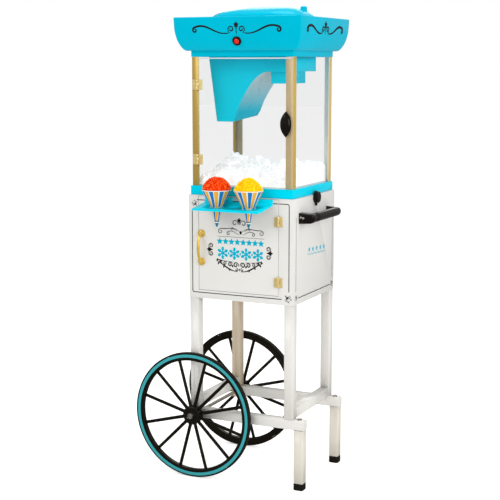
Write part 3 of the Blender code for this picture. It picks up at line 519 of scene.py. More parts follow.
# Height, and how far the crown stands out from the neck there
CROWN = mm((1248, 10), (1251, 15), (1260, 21.5), (1274, 28), (1290, 32.2), (1308, 35), (1338.5, 36.5))
CROWN_CURVE = curve_through(CROWN, 6)
CROWN_OUT = CROWN[-1][1]
HOOD_CORNER = 0.0045
# Half sizes of the holes in the neck's floor and, for the hopper, in the deck
FLOOR_HOLE = (0.1350, 0.0560)
DECK_HOLE = (0.1040, 0.0720)


def flare(height):
    """How far the crown stands out from the neck at a height."""
    for (low, near), (high, far) in zip(CROWN_CURVE, CROWN_CURVE[1:]):
        if low <= height <= high:
            return near + (far - near) * (height - low) / (high - low)
    return CROWN_OUT


def hood_loop(out, height):
    return level(rounded_loop(NECK_X + out, NECK_Y + out, HOOD_CORNER, 5), height)


def make_hood():
    """A moulding from the hole in its floor, up the neck and the crown, to the hopper's hole in its top."""
    rows = [(out, HOOD_LOW + rise) for out, rise in mm((-1.0, 0.0), (-0.3, 0.3), (0.0, 1.0))]
    rows += [(out, NECK_TOP - drop) for out, drop in mm((0, 1.4), (0.4, 0.6), (1.4, 0.2), (8.5, 0.2))]
    rows += [(out, height) for height, out in CROWN_CURVE]
    rows += [(CROWN_OUT - inset, HOOD_TOP - drop) for inset, drop in mm((0.3, 0.8), (1.1, 0.1), (2.2, 0))]
    loops = [level(rounded_loop(*FLOOR_HOLE, 0.012, 5, 0.0025), HOOD_LOW)]
    loops += [hood_loop(*row) for row in rows]
    for inset in (0.0, 0.0010):
        hole = rounded_loop(DECK_HOLE[0] - inset, DECK_HOLE[1] - inset, 0.020, 5)
        loops.append(level(hole, HOOD_TOP - 0.6 * inset))
    wall(make("hood_moulding", "cart", loft(loops), "teal", ["hood_shell"], 30.0), 0.0025)


# Rise over the lid's foot, share of the lid's size, and shift to the right
LID_RISE = (
    (0.0, 1.0, 0.0), (0.0050, 1.0, 0.0), (0.0130, 0.925, 0.003), (0.0190, 0.82, 0.010), (0.0245, 0.66, 0.021),
    (0.0285, 0.47, 0.029), (0.0308, 0.28, 0.030), (0.0318, 0.10, 0.030), (0.0319, 0.02, 0.030),
)  # fmt: skip
# Shares of the knob's radius and height
LID_KNOB = (
    (0, 0), (1.25, 0), (1.12, 0.32), (1, 0.48), (1, 0.80), (0.93, 0.92), (0.74, 0.985), (0.4, 1), (0, 1),
)  # fmt: skip


def make_lid():
    lid = Box("hopper_lid")
    loops = []
    for rise, share, shift in curve_through(LID_RISE, 5):
        half_x, half_y = lid.half.x * share, lid.half.y * share
        loops.append(level(rounded_loop(half_x, half_y, 0.75 * half_y, 14, shift), lid.low.z + rise))
    wall(make("lid_moulding", "hopper_lid", loft(loops, cap_end=True), "teal", ["hopper_lid"], 60.0), 0.0022)
    knob = Box("lid_knob")
    turned = lathe([(knob.half.x * reach, 2 * knob.half.z * rise) for reach, rise in LID_KNOB], 48)
    place = Matrix.Translation(at(knob.mid.x, knob.mid.y, knob.low.z))
    make("lid_button", "hopper_lid", turned, "teal", ["lid_knob"], 60.0, place)


# Height, left edge and right edge
CHUTE = mm(
    (1047.0, -111.7, -55.3), (1075.0, -115.5, -45.5), (1101.0, -119.0, -35.0), (1125.0, -122.2, -21.5),
    (1145.0, -125.0, -8.3), (1161.0, -127.2, 4.3), (1175.0, -129.2, 20.0), (1186.5, -130.8, 39.5),
    (1189.0, -131.2, 50.5),
)  # fmt: skip
CHUTE_RIGHT = 0.0505
COLLAR_RIGHT = 0.0535
MOUTH = CHUTE[0][0]
MOUTH_TILT = 0.0100
MOUTH_FADE = 0.0280


def mouth_rise(y, half_y, height):
    """The mouth slopes up to the rear and turns up at its rear corner."""
    share = max(0.0, 1.0 - (height - MOUTH) / MOUTH_FADE)
    corner = max(0.0, (y - half_y + 0.012) / 0.012)
    return share * (MOUTH_TILT * (y + half_y) / (2 * half_y) + 0.0060 * corner**2)


def make_chute():
    box = Box("ice_chute")
    half_y = box.high.y
    rows = [(height, left, min(right, CHUTE_RIGHT)) for height, left, right in curve_through(CHUTE, 6)]
    for height, left in ((1.1915, -0.1316), (1.2100, -0.1343), (box.high.z - 0.0003, -0.1366)):
        rows.append((height, left, COLLAR_RIGHT))
    loops = []
    for height, left, right in rows:
        corner = 0.0045 - 0.0035 * min(1.0, max(0.0, (height - 1.1500) / 0.0380))
        loop = two_sided_loop(left, right, half_y, 0.0115, corner, 7)
        loops.append([at(x, y, height + mouth_rise(y, half_y, height)) for x, y in loop])
    shape = Shape().add(loft(loops), "teal_painted_light")
    columns = len(loops[0])
    # A strip of faces on the chute's right side, all but the top rows, takes the throat look: a painted
    # reflection.
    for i in range(len(loops) - 4):
        shape.looks[i * columns + columns - 1] = "throat"
    chute = shape.piece("chute_moulding", "cart", ["ice_chute"], 40.0)
    wall(chute, 0.0025)
    rules = {"limit_method": "ANGLE", "angle_limit": math.radians(60.0)}
    modify(chute, "rounded edges", "BEVEL", width=0.0008, segments=2, **rules)


# Panes


def make_panes():
    """Clear slabs with frosted cut edges."""
    for node, body in (("left", "cart"), ("right", "cart"), ("rear", "cart"), ("door", "glass_door")):
        box = Box("glass_" + node)
        thin = 0 if box.half.x < box.half.y else 1
        wide = 1 - thin
        near, far = box.low[thin], box.high[thin]
        loops = []
        for inset, depth in ((0.0004, near), (0.0, near + 0.0004), (0.0, far - 0.0004), (0.0004, far)):
            half = box.half[wide] - inset
            loop = rounded_loop(half, box.half.z - inset, 0.0025, 4, box.mid[wide], box.mid.z)
            loops.append([at(u, depth, v) if thin else at(depth, u, v) for u, v in loop])
        pane = Shape().add(loft(loops, True, True), "pane_rim")
        pane.looks[-2:] = ["pane", "pane"]
        pane.piece("glass_" + node + "_pane", body, ["glass_" + node], 30.0)
    low, high = box.low, box.high
    start = at(low.x + 0.001, low.y - 0.0003, high.z - 0.0034)
    edge = block(start, at(high.x - 0.001, high.y + 0.0003, high.z + 0.0002), 0.0003, 2)
    make("glass_door_edge", "glass_door", edge, "edge_strip")


# Case door grip and push switch


def lens_outline(half_width, half_height, steps):
    radius = (half_height**2 + half_width**2) / (2 * half_width)
    spread = math.degrees(math.asin(half_height / radius))
    right = arc((half_width - radius, 0.0), radius, -spread, spread, steps)
    left = arc((radius - half_width, 0.0), radius, 180 - spread, 180 + spread, steps)
    return right[:-1] + left[:-1]


# Share of the grip's depth, and share of its outline there
GRIP = (
    (0.0, 0.955), (0.06, 0.985), (0.16, 1.0), (0.30, 0.985), (0.52, 0.93),
    (0.72, 0.83), (0.87, 0.66), (0.96, 0.42), (0.99, 0.2), (1.0, 0.03),
)  # fmt: skip


def make_lens_grip():
    box = Box("glass_door_handle")
    outline = lens_outline(box.half.x, box.half.z, 26)
    loops = []
    for reach, scale in GRIP:
        y = box.high.y - reach * 2 * box.half.y
        loops.append([at(box.mid.x + scale * x, y, box.mid.z + scale * z) for x, z in outline])
    make("case_door_grip", "glass_door", loft(loops, True, True), "black", ["glass_door_handle"], 50.0)


SWITCH_HEIGHT = 1.2740
SWITCH_TILT = math.radians(20.0)
# Radius and height over the crown
SWITCH_RING = mm(
    (8.3, 4.0), (8.8, 4.6), (10.2, 4.8), (11.8, 4.3), (12.8, 3.2), (13.0, 2.0),
    (12.8, -0.4), (10.0, -0.6), (10.0, -10.0), (8.3, -10.0),
)  # fmt: skip
SWITCH_CAP = mm((0, 7.2), (2.2, 7.1), (4.5, 6.6), (6.3, 5.8), (7.5, 4.6), (8.0, 3.4), (8.0, -7.0), (0, -7.0))


def make_switch():
    outward = Vector((0.0, -math.cos(SWITCH_TILT), -math.sin(SWITCH_TILT)))
    place = turn_to(outward, at(0.0, -NECK_Y - flare(SWITCH_HEIGHT), SWITCH_HEIGHT))
    make("switch_ring", "cart", lathe(SWITCH_RING, 56, True), "black", ["switch_bezel"], matrix=place)
    make("switch_button", "power_button", lathe(SWITCH_CAP, 48), "red", ["power_button"], 60.0, place)


# Ice

# Place of a heap, its spread along X and Y, and its height
HEAPS = (
    (-0.098, 0.020, 0.026, 0.045, 0.038),
    (-0.016, 0.020, 0.018, 0.040, 0.028),
    (0.060, 0.030, 0.020, 0.045, 0.027),
    (0.150, 0.085, 0.028, 0.050, 0.027),
    (-0.150, -0.050, 0.030, 0.080, -0.010),
)
ICE_LEVEL = 0.0440
ICE_ACROSS = 210
ICE_DEEP = 196
CLUMPS = 520
CRUMBS = 3400


def ice_heights(xs, ys):
    """Heights over the pan's floor: a slope from the front, heaps, and the round clumps on them."""
    x, y = np.meshgrid(xs, ys)
    top = np.full(x.shape, ICE_LEVEL)
    for heap_x, heap_y, spread_x, spread_y, tall in HEAPS:
        top += tall * np.exp(-0.5 * (((x - heap_x) / spread_x) ** 2 + ((y - heap_y) / spread_y) ** 2))
    front = np.clip((y - ys[0]) / 0.085, 0.0, 1.0)
    side = np.clip((xs[-1] - x) / 0.040, 0.0, 1.0)
    top *= (0.18 + 0.82 * front * (2.0 - front)) * (0.60 + 0.40 * side * (2.0 - side))
    base = top.copy()
    draw = random.Random(21)
    for _ in range(CLUMPS):
        clump_x = draw.uniform(xs[0], xs[-1])
        clump_y = draw.uniform(ys[0], ys[-1])
        radius = 0.0045 + 0.0150 * draw.random() ** 1.6
        column = int((clump_x - xs[0]) / (xs[-1] - xs[0]) * (len(xs) - 1))
        row = int((clump_y - ys[0]) / (ys[-1] - ys[0]) * (len(ys) - 1))
        middle = base[row, column] - radius * draw.uniform(0.10, 0.75)
        span = radius**2 - (x - clump_x) ** 2 - (y - clump_y) ** 2
        top = np.maximum(top, np.where(span > 0.0, middle + np.sqrt(np.maximum(span, 0.0)), 0.0))
    for row, place_y in enumerate(ys):
        for column, place_x in enumerate(xs):
            place = Vector((place_x, place_y, 0.37))
            rough = 0.0066 * abs(noise.noise(place * 110.0))
            top[row, column] += rough + 0.0046 * abs(noise.noise(place * 300.0))
    return np.maximum(top, 0.004)


def make_ice_pile():
    box = Box("ice_pile")
    floor = box.low.z
    xs = np.linspace(box.low.x, box.high.x, ICE_ACROSS)
    ys = np.linspace(box.low.y, box.high.y, ICE_DEEP)
    heights = ice_heights(xs, ys)
    points = [at(x, y, floor + heights[j, i]) for j, y in enumerate(ys) for i, x in enumerate(xs)]
    faces = quads(ICE_DEEP, ICE_ACROSS, False, False)
    last = (ICE_DEEP - 1) * ICE_ACROSS
    rim = [j * ICE_ACROSS for j in range(ICE_DEEP)] + [last + i for i in range(1, ICE_ACROSS)]
    rim += [j * ICE_ACROSS + ICE_ACROSS - 1 for j in range(ICE_DEEP - 2, -1, -1)]
    rim += list(range(ICE_ACROSS - 2, 0, -1))
    foot = len(points)
    count = len(rim)
    points += [Vector((points[i].x, points[i].y, floor)) for i in rim]
    faces += [(rim[i], rim[(i + 1) % count], foot + (i + 1) % count, foot + i) for i in range(count)]
    faces.append(tuple(range(foot, foot + count)))
    make("ice_heap", "cart", (points, faces), "snow", ["ice_pile"], 80.0)
    draw = random.Random(11)
    crumbs = Shape()
    for _ in range(CRUMBS):
        i = draw.randrange(3, ICE_ACROSS - 3)
        j = draw.randrange(3, ICE_DEEP - 3)
        size = 0.0009 + 0.0030 * draw.random() ** 2.5
        place = at(xs[i], ys[j], floor + heights[j, i] + size * draw.uniform(0.0, 0.8))
        angle = draw.uniform(0, math.pi)
        turn = Matrix.Rotation(angle, 4, Vector((draw.random(), draw.random(), draw.random() + 0.1)))
        squash = Matrix.Diagonal((1.0, draw.uniform(0.6, 1.0), draw.uniform(0.45, 0.9), 1.0))
        crumbs.add(crumb(size), "snow", Matrix.Translation(place) @ turn @ squash)
    crumbs.piece("ice_crumbs", "cart", (), 80.0)


# Snow cones

# Repeats round a cone, in steps of 1.5 degrees
CONE_COLORS = ["paper_blue"] * 12 + ["paper_white"] * 2 + ["paper_orange"] * 12 + ["paper_white"] * 4
# Radius and height over the tip of a cone's outer side
CONE_SIDE = mm(
    (0, 0), (1.4, 1.2), (3.6, 7.0), (5.6, 13.5), (6.3, 16.5), (6.8, 20.0),
    (7.8, 26.0), (9.6, 37.0), (11.6, 47.0), (14.5, 53.0), (18.4, 59.0), (30.0, 84.5),
)  # fmt: skip
# Radius and height over the rim of its rolled lip
CONE_LIP = mm((-0.9, -2.2), (-0.2, -1.6), (0.4, -0.6), (0.2, 0.3), (-0.6, 0.3), (-1.1, -1.0))
CONE_TALL = 0.1070
CONE_STEPS = 240
CONE_FACING = -64.65
MOUND_STEPS = 72
MOUND_ROWS = 26


def make_paper_cone(side, start, lift):
    """A rolled paper cone, with its stripes start degrees round it, that rests lift above its hole's seat."""
    node = "snow_cone_" + side
    box = Box(node)
    radius = box.half.x
    tip = box.low.z + lift
    rim = tip + CONE_TALL
    profile = [(reach, tip + height) for reach, height in CONE_SIDE]
    profile += [(radius + out, rim + height) for out, height in CONE_LIP]
    profile += [(0.93 * radius - 0.0020, rim - 0.006), (0.0120, tip + 0.0560), (0.0, tip + 0.054)]
    place = Matrix.Translation(at(box.mid.x, box.mid.y, 0.0))
    cone = Shape().add(lathe(profile, CONE_STEPS), "paper_white", place)
    for i in range(len(profile) - 1):
        for j in range(CONE_STEPS):
            around = j * 360 / CONE_STEPS
            turn = (around - start) % 45 if i >= 10 else ((around - CONE_FACING + 60) % 90) / 2
            look = CONE_COLORS[int(turn / 1.5)]
            if i < 3 or i == 4:
                look = "paper_tip"
            elif i < 5 or i >= len(CONE_SIDE):
                look = "paper_white"
            cone.looks[i * CONE_STEPS + j] = look
    cone.piece("paper_cone_" + side, node, [node], 30.0, "paper")
    return box.mid.x, box.mid.y, rim, radius


def make_mound(side, centre, looks, seed, peak, power, grain, count):
    """Crushed ice on a cone: a lumpy dome and the chips that cover it."""
    centre_x, centre_y, rim, radius = centre
    draw = random.Random(seed)
    base = radius - 0.0014

    def rise(share):
        return peak * (1.0 - share**power) ** 0.75

    def lump(x, y, z):
        return noise.fractal(Vector((x, y, z + seed)) * 150.0, 0.9, 2.0, 3) * 0.0012

    loops = [[at(centre_x, centre_y, rim - 0.005)] * MOUND_STEPS]
    for i in range(MOUND_ROWS + 1):
        share = 1.0 - i / MOUND_ROWS
        loop = []
        for k in range(MOUND_STEPS):
            turn = 2 * math.pi * k / MOUND_STEPS
            x = base * share * math.cos(turn)
            y = base * share * math.sin(turn)
            z = rise(share)
            push = 0.97 + lump(x, y, z) / 0.04
            loop.append(at(centre_x + x * push, centre_y + y * push, rim - 0.0026 + z * push + lump(y, z, x)))
        loops.append(loop)
    # The dome under the chips takes the darker look: painted shade in the gaps between chips.
    mound = Shape().add(loft(loops, False, True), looks[1])
    mound.piece("crushed_ice_" + side, "snow_cone_" + side, (), 80.0, "paper")
    chips = Shape()
    for _ in range(count):
        share = (1.0 - draw.random() ** (4 / 3)) ** (1 / power)
        turn = draw.uniform(0.0, 2 * math.pi)
        size = grain * draw.uniform(0.55, 1.0)
        reach = min(base * share, base - 0.5 * size)
        sink = draw.uniform(-0.35, 0.35) * size
        height = rim - 0.0012 + rise(reach / base) + sink
        place = at(centre_x + reach * math.cos(turn), centre_y + reach * math.sin(turn), height)
        axis = Vector((draw.uniform(-1, 1), draw.uniform(-1, 1), draw.uniform(0.1, 1)))
        squash = Matrix.Diagonal((1.0, draw.uniform(0.6, 0.95), draw.uniform(0.55, 0.9), 1.0))
        # Half of the chips take the darker look at random, and sunk chips take it more often: painted shade.
        look = looks[0] if draw.random() < 0.5 + 1.3 * sink / size else looks[1]
        spin = Matrix.Rotation(draw.uniform(0, 3.1), 4, axis)
        chips.add(crumb(size), look, Matrix.Translation(place) @ spin @ squash)
    chips.piece("ice_chips_" + side, "snow_cone_" + side, (), 25.0, "paper")


def make_snow_cones():
    left = make_paper_cone("left", CONE_FACING - 32.3, 0.0)
    right = make_paper_cone("right", CONE_FACING - 3.5, 0.0020)
    make_mound("left", left, ("red_ice", "red_ice_deep_painted_shade"), 3, 0.0350, 2.5, 0.0033, 760)
    make_mound("right", right, ("yellow_ice", "yellow_ice_deep_painted_shade"), 8, 0.0355, 1.75, 0.0024, 1300)


# Shelf

SHELF_HOLE = 0.0200
SHELF_BEND = 0.0040
SHELF_CORNER = 0.0040
LEAF_BACK = 0.8220
LEAF_FRONT = 0.8098
BEND_TOP = 0.8240
BEND_STEPS = 6
NOTCH = 0.0175
NOTCH_DEEP = 0.0118
# Out and up from the front edge, and from the edge of a hole
SHELF_LIP = mm((0.0, 0.0), (-1.2, -0.2), (-1.8, -1.0), (-1.8, -3.6), (-0.6, -3.6), (-0.4, -1.2))
HOLE_RIM = mm((-0.7, -1.6), (-0.7, 0.1), (0.0, 0.5), (0.8, 0.1), (0.8, -1.6))


def make_shelf():
    """Bent sheet: a flange with a notch, a bend, a leaf with two holes and a turned-down front edge."""
    box = Box("cone_shelf")
    low, high = box.low, box.high
    centres = {side: Box("snow_cone_" + side).mid for side in ("left", "right")}
    back = high.y - 0.0016
    slope = math.atan((LEAF_BACK - LEAF_FRONT) / (high.y - low.y))
    lean = math.pi / 2 - slope
    flange = high.z - BEND_TOP
    leaf = flange + SHELF_BEND * lean
    reach = leaf + (back - 0.0030 - low.y) / math.cos(slope)
    hole_along = leaf + (back - 0.004 - centres["right"].y) / math.cos(slope)
    left, right = low.x + SHELF_CORNER, high.x - SHELF_CORNER

    def sheet_point(x, along):
        """along runs down the flange, round the bend and out over the leaf."""
        if along < flange:
            return at(x, back, high.z - along)
        angle = min((along - flange) / SHELF_BEND, lean)
        rest = max(0.0, along - leaf)
        y = back - SHELF_BEND * (1 - math.cos(angle)) - rest * math.sin(angle)
        return at(x, y, BEND_TOP - SHELF_BEND * math.sin(angle) - rest * math.cos(angle))

    shape = bmesh.new()

    def ring(points):
        verts = [shape.verts.new((x, along, 0.0)) for x, along in points]
        return [shape.edges.new((verts[i], verts[(i + 1) % len(verts)])) for i in range(len(verts))]

    front = reach - SHELF_CORNER
    outer = [(low.x, leaf), (high.x, leaf)] + arc((right, front), SHELF_CORNER, 0, 90, 5)
    edges = ring(outer + arc((left, front), SHELF_CORNER, 90, 180, 5))
    for centre in centres.values():
        edges += ring(arc((centre.x, hole_along), SHELF_HOLE, 0, 360 - 7.5, 47))
    bmesh.ops.triangle_fill(shape, use_beauty=True, edges=edges)
    near, far = box.mid.x - NOTCH, box.mid.x + NOTCH
    notched = [(low.x, 0.0), (near, 0.0), (near, NOTCH_DEEP), (far, NOTCH_DEEP), (far, 0.0)]
    edges = ring(notched + [(high.x, 0.0), (high.x, flange), (low.x, flange)])
    bmesh.ops.triangle_fill(shape, use_beauty=True, edges=edges)
    for i in range(BEND_STEPS):
        near, far = [flange + SHELF_BEND * lean * k / BEND_STEPS for k in (i, i + 1)]
        corners = ((low.x, near), (high.x, near), (high.x, far), (low.x, far))
        shape.faces.new([shape.verts.new((x, along, 0.0)) for x, along in corners])
    bmesh.ops.remove_doubles(shape, verts=shape.verts, dist=0.000001)
    flat, faces = mesh_of(shape)
    points = [sheet_point(point.x, point.y) for point in flat]
    sheet = make("shelf_sheet", "cabinet_door", (points, faces), "teal_sheet_painted_light", ["cone_shelf"], 40.0)
    upward = sum(face.normal.z for face in sheet.data.polygons) > 0
    # The sheet's underside takes the dark grey teal: painted shade.
    sheet.data.materials.append(LOOKS["teal_under_painted_shade"])
    wall(sheet, 0.0015, offset=-1.0 if upward else 1.0, material_offset=1)
    edge = sheet_point(0.0, reach) - MID
    loops = [[at(x, edge.y + y + 0.0006, edge.z + z) for y, z in SHELF_LIP] for x in (left, right)]
    make("shelf_lip", "cabinet_door", loft(loops, True, True), "teal_painted_light")
    for side, centre in centres.items():
        middle = sheet_point(centre.x, hole_along)
        loops = []
        for turn in [2 * math.pi * i / 48 for i in range(48)]:
            x, along = centre.x + SHELF_HOLE * math.cos(turn), hole_along + SHELF_HOLE * math.sin(turn)
            point = sheet_point(x, along) + UP * 0.0001
            out = (point - middle).normalized()
            loops.append([point + out * across + UP * rise for across, rise in HOLE_RIM])
        make("shelf_hole_rim_" + side, "cabinet_door", loft(loops, closed=True), "teal_sheet_painted_light")


# Small metal parts


def screw_head(radius, rise):
    """A domed cross-head screw: its points and faces, standing on Z = 0."""
    rows = ((0, 0.65), (0.16, 0.65), (0.20, 1), (0.55, 0.93), (0.85, 0.62), (1, 0.12), (1, 0), (0, 0))
    return lathe([(radius * out, rise * up) for out, up in rows], 20)


def make_hinge_screws():
    for prefix, body in (("cabinet", "cabinet_door"), ("glass", "glass_door")):
        for kind, rider in (("fixed", "cart"), ("leaf", body)):
            screws = Shape()
            for height in ("upper", "lower"):
                box = Box(prefix + "_hinge_" + height + "_" + kind)
                outer_left = (prefix == "cabinet") == (kind == "leaf")
                x = box.low.x + 0.0046 if outer_left else box.high.x - 0.0046
                for z in (box.low.z + 0.0058, box.high.z - 0.0058):
                    place = turn_to(FRONT, at(x, box.high.y - 0.0016, z))
                    screws.add(screw_head(0.0021, 0.0009), "brass", place)
            screws.piece(prefix + "_hinge_screws_" + kind, rider)


ROSETTE = mm((0, 0), (11.5, 0), (11.5, 1.2), (10.7, 2.2), (8.6, 2.7), (7.8, 4), (6, 5.3), (3.5, 6), (0, 6.2))
PULL_END = 0.0115
PULL_STEPS = 36


def make_pull():
    box = Box("cabinet_pull")
    face = box.high.y
    bottom, top = box.low.z + PULL_END, box.high.z - PULL_END
    reach = face - box.low.y - 0.0040
    path = []
    radii = []
    for along in (i / PULL_STEPS for i in range(PULL_STEPS + 1)):
        out = 0.003 + (reach - 0.003) * max(0.0, math.sin(math.pi * along)) ** 0.45
        path.append(at(box.mid.x, face - out, bottom + (top - bottom) * along))
        middle = 0.0012 * math.sin(math.pi * along) ** 2
        radii.append(0.0031 + middle + 0.0009 * abs(math.cos(math.pi * along)) ** 6)
    pull = Shape().add(tube(path, radii, 24), "pull_brass")
    for z in (bottom, top):
        pull.add(lathe(ROSETTE, 40), "pull_brass", turn_to(FRONT, at(box.mid.x, face, z)))
    pull.piece("brass_pull", "cabinet_door", ["cabinet_pull"], 50.0)


def make_push_handle():
    """A round bar whose ends turn in to the wall through two cast blocks."""
    box = Box("push_handle")
    start, end = box.low.y, box.high.y
    radius = box.half.z
    x = box.high.x - radius
    z = box.mid.z
    path = [(start - 0.0060, 0.98), (start + 0.0004, 0.98), (start + 0.0009, 1.0)]
    path += [(start + (end - start) * i / 6, 1.0) for i in range(1, 7)]
    path += [(end + 0.0034, 0.97), (end + 0.0066, 0.86), (end + 0.0092, 0.66), (end + 0.0108, 0.42)]
    path += [(end + 0.0115, 0.15)]
    bar = tube([at(x, y, z) for y, swell in path], [radius * swell for y, swell in path], 40)
    make("push_bar", "cart", bar, "black", ["push_handle"], 45.0)
    for depth, side, at_wall, at_bar, turn in (
        ("front", -1, 0.0155, 0.0134, 0.0110),
        ("rear", 1, 0.0140, 0.0116, 0.0040),
    ):
        node = "handle_bracket_" + depth
        low, high = Box(node).low, Box(node).high
        face, back = (low.y, high.y) if side < 0 else (high.y, low.y)
        end = x + at_bar
        loops = []
        for step in range(25):
            px = low.x + (end - low.x) * (1.0 - (1.0 - step / 24) ** 1.8)
            half_z = at_wall + (at_bar - at_wall) * (px - low.x) / (x - low.x)
            if px >= x:
                half_z = math.sqrt(max(0.0, at_bar**2 - (px - x) ** 2)) * 0.94 + 0.0008
            near = face
            if px > end - turn:
                near = face - side * (turn - math.sqrt(max(0.0, turn**2 - (px - end + turn) ** 2)))
            half_y = abs(near - back) / 2
            corner = min(0.0032, half_y * 0.9, half_z * 0.9)
            middle = (near + back) / 2
            loops.append([at(px, middle + a, z + b) for a, b in rounded_loop(half_y, half_z, corner, 5)])
        make("push_block_" + depth, "cart", loft(loops, True, True), "black", [node], 45.0)
    bolts = Shape()
    low = Box("handle_bracket_front").low
    for out, up in mm((6.2, 3.0), (13.5, 1.2)):
        bolts.add(screw_head(0.0033, 0.0015), "steel", turn_to(FRONT, at(low.x + out, low.y, z + up)))
    bolts.piece("push_block_bolts", "cart")


def make_drain_knob():
    box = Box("drain_knob")
    radius = box.half.y
    y = box.mid.y
    z = box.high.z - radius
    face = CABINET_X + 0.0003
    deep = box.high.x - face

    def flutes(turn, height):
        return 1.0 - (0.035 * (0.5 - 0.5 * math.cos(10 * turn)) if height > 0.0025 else 0.0)

    dial = [(0.0, 0.0), (radius, 0.0), (radius, 0.0024), (radius * 0.93, 0.0030)]
    for share, rise in ((0.90, 0.80), (0.85, 0.95), (0.76, 1.0), (0.30, 0.985), (0.0, 0.98)):
        dial.append((radius * share, deep * rise))
    place = turn_to((1, 0, 0), at(face, y, z))
    knob = Shape().add(lathe(dial, 80, ripple=flutes), "black", place)
    knob.add(lathe(mm((0, -14), (5, -14), (5, 1), (0, 1)), 20), "black", place)
    tip = box.low.z + 0.0003
    outline = rounded([(-0.0105, z - 0.009), (-0.0022, tip), (0.0022, tip), (0.0105, z - 0.009)], 0.002)
    loops = [[at(face + out, y + py, pz) for py, pz in outline] for out in (0.0004, 0.0042, 0.0050)]
    middle = at(face + 0.0050, y, z - 0.012)
    loops[2] = [(point - middle) * 0.92 + middle for point in loops[2]]
    knob.add(loft(loops, True, True), "black")
    knob.piece("drain_dial", "drain_knob", ["drain_knob"], 45.0)


# Wheels

RIM_OUT = 0.1830
RIM_IN = 0.1640
SPOKES = 12
SPOKE_SECTION = mm(
    (-5.0, -1.6), (-4.4, -2.5), (4.4, -2.5), (5.0, -1.6), (5.0, 0.8), (4.0, 1.8),
    (1.7, 1.9), (1.1, 2.6), (-1.1, 2.6), (-1.7, 1.9), (-4.0, 1.8), (-5.0, 0.8),
)  # fmt: skip
# Radius, and height over the hub's outer and inner faces
HUB_OUTER = mm((5.3, 0), (11.2, 0), (12.2, -0.8), (13, -3), (23.2, -3.4), (25.8, -4.2), (27.6, -6.2))
HUB_OUTER += mm((28, -8.5))
HUB_INNER = mm((28, 4.8), (26.8, 3.4), (25, 3.7), (12, 3.7), (12, 0), (5.3, 0))
# Radius, and height over the rim's flat face
WHEEL_STRIPE = mm((182.6, -1.0), (182.4, 0.4), (180.0, 1.0), (175.8, 1.0), (173.6, 0.4), (173.4, -1.0))


def make_wheel(depth, side):
    node = "wheel_" + depth
    box = Box(node)
    tyre = Box("tyre_" + depth)
    radius = tyre.half.z
    half = tyre.half.y
    centre = at(*tyre.mid)
    outward = Vector((0, side, 0))
    place = turn_to(outward, centre)
    tread = [(RIM_OUT + 0.0003, half - 0.0006), (radius - 0.0026, half), (radius - 0.0010, half - 0.0010)]
    tread += [(radius - 0.0001, half - 0.0032), (radius, 0.0)]
    tread += [(reach, -height) for reach, height in reversed(tread[:-1])]
    make("tyre_" + depth + "_tread", node, lathe(tread, 144, True), "rubber", ["tyre_" + depth], matrix=place)
    flat = half - 0.001
    ring = [(RIM_OUT, flat - 0.0008), (RIM_OUT - 0.0006, flat), (0.1733, flat), (0.1728, flat - 0.0007)]
    ring += [(0.1722, flat), (0.1660, flat), (0.1644, flat - 0.0008), (RIM_IN, flat - 0.0026)]
    ring += [(RIM_IN + 0.0012, 0.0), (RIM_IN, 0.0026 - flat), (0.1644, 0.0008 - flat), (0.1660, -flat)]
    ring += [(RIM_OUT - 0.0006, -flat), (RIM_OUT, 0.0008 - flat)]
    wheel = Shape().add(lathe(ring, 144, True), "black_paint", place)
    hub_out, hub_in = box.high.y - tyre.mid.y, tyre.mid.y - box.low.y
    if side < 0:
        hub_out, hub_in = hub_in, hub_out
    hub = [(reach, hub_out + height) for reach, height in HUB_OUTER]
    hub += [(reach, height - hub_in) for reach, height in HUB_INNER]
    wheel.add(lathe(hub, 96, True), "black_paint", place)
    for i in range(SPOKES):
        turn = 2 * math.pi * (i + 0.5) / SPOKES
        away = Vector((math.cos(turn), 0.0, math.sin(turn)))
        beside = Vector((-math.sin(turn), 0.0, math.cos(turn)))
        loops = []
        for reach, swell in ((0.0240, 1.12), (0.0400, 1.0), (0.1560, 0.94), (0.1660, 1.0)):
            loops.append([centre + away * reach + beside * a * swell + outward * b for a, b in SPOKE_SECTION])
        wheel.add(loft(loops, True, True), "black_paint")
    wheel.piece("spoked_wheel_" + depth, node, [node], 32.0)
    stripe = lathe([(reach, flat + height) for reach, height in WHEEL_STRIPE], 144, True)
    make("wheel_stripe_" + depth, node, stripe, "stripe", (), 30.0, place)


def make_wheels():
    make_wheel("front", -1)
    make_wheel("rear", 1)


# The cotter pin's path round the axle's middle
COTTER = mm((10.5, 5), (6, 3), (0, 1), (-6, -1.6), (-9.2, -4.8), (-8.2, -7.2), (-5.2, -6), (-4, -3))


def make_axle_ends():
    box = Box("axle")
    radius = box.half.z
    long = 2 * box.half.y
    profile = [(0.0, 0.0), (radius * 0.78, 0.0), (radius, 0.0011)]
    profile += [(reach, long - height) for reach, height in reversed(profile)]
    place = turn_to((0, 1, 0), at(box.mid.x, box.low.y, box.mid.z))
    make("axle_bar", "cart", lathe(profile, 32), "steel", ["axle"], matrix=place)
    for side, depth in ((-1, "front"), (1, "rear")):
        nut = Box("axle_nut_" + depth)
        y = nut.mid.y + side * (nut.half.y - 0.0004 + 0.0008)
        path = [at(box.mid.x + a, y, box.mid.z + b) for a, b in curve_through(COTTER, 4)]
        make("cotter_pin_" + depth, "cart", tube(path, [0.0007] * len(path), 10), "steel")


# Frame details


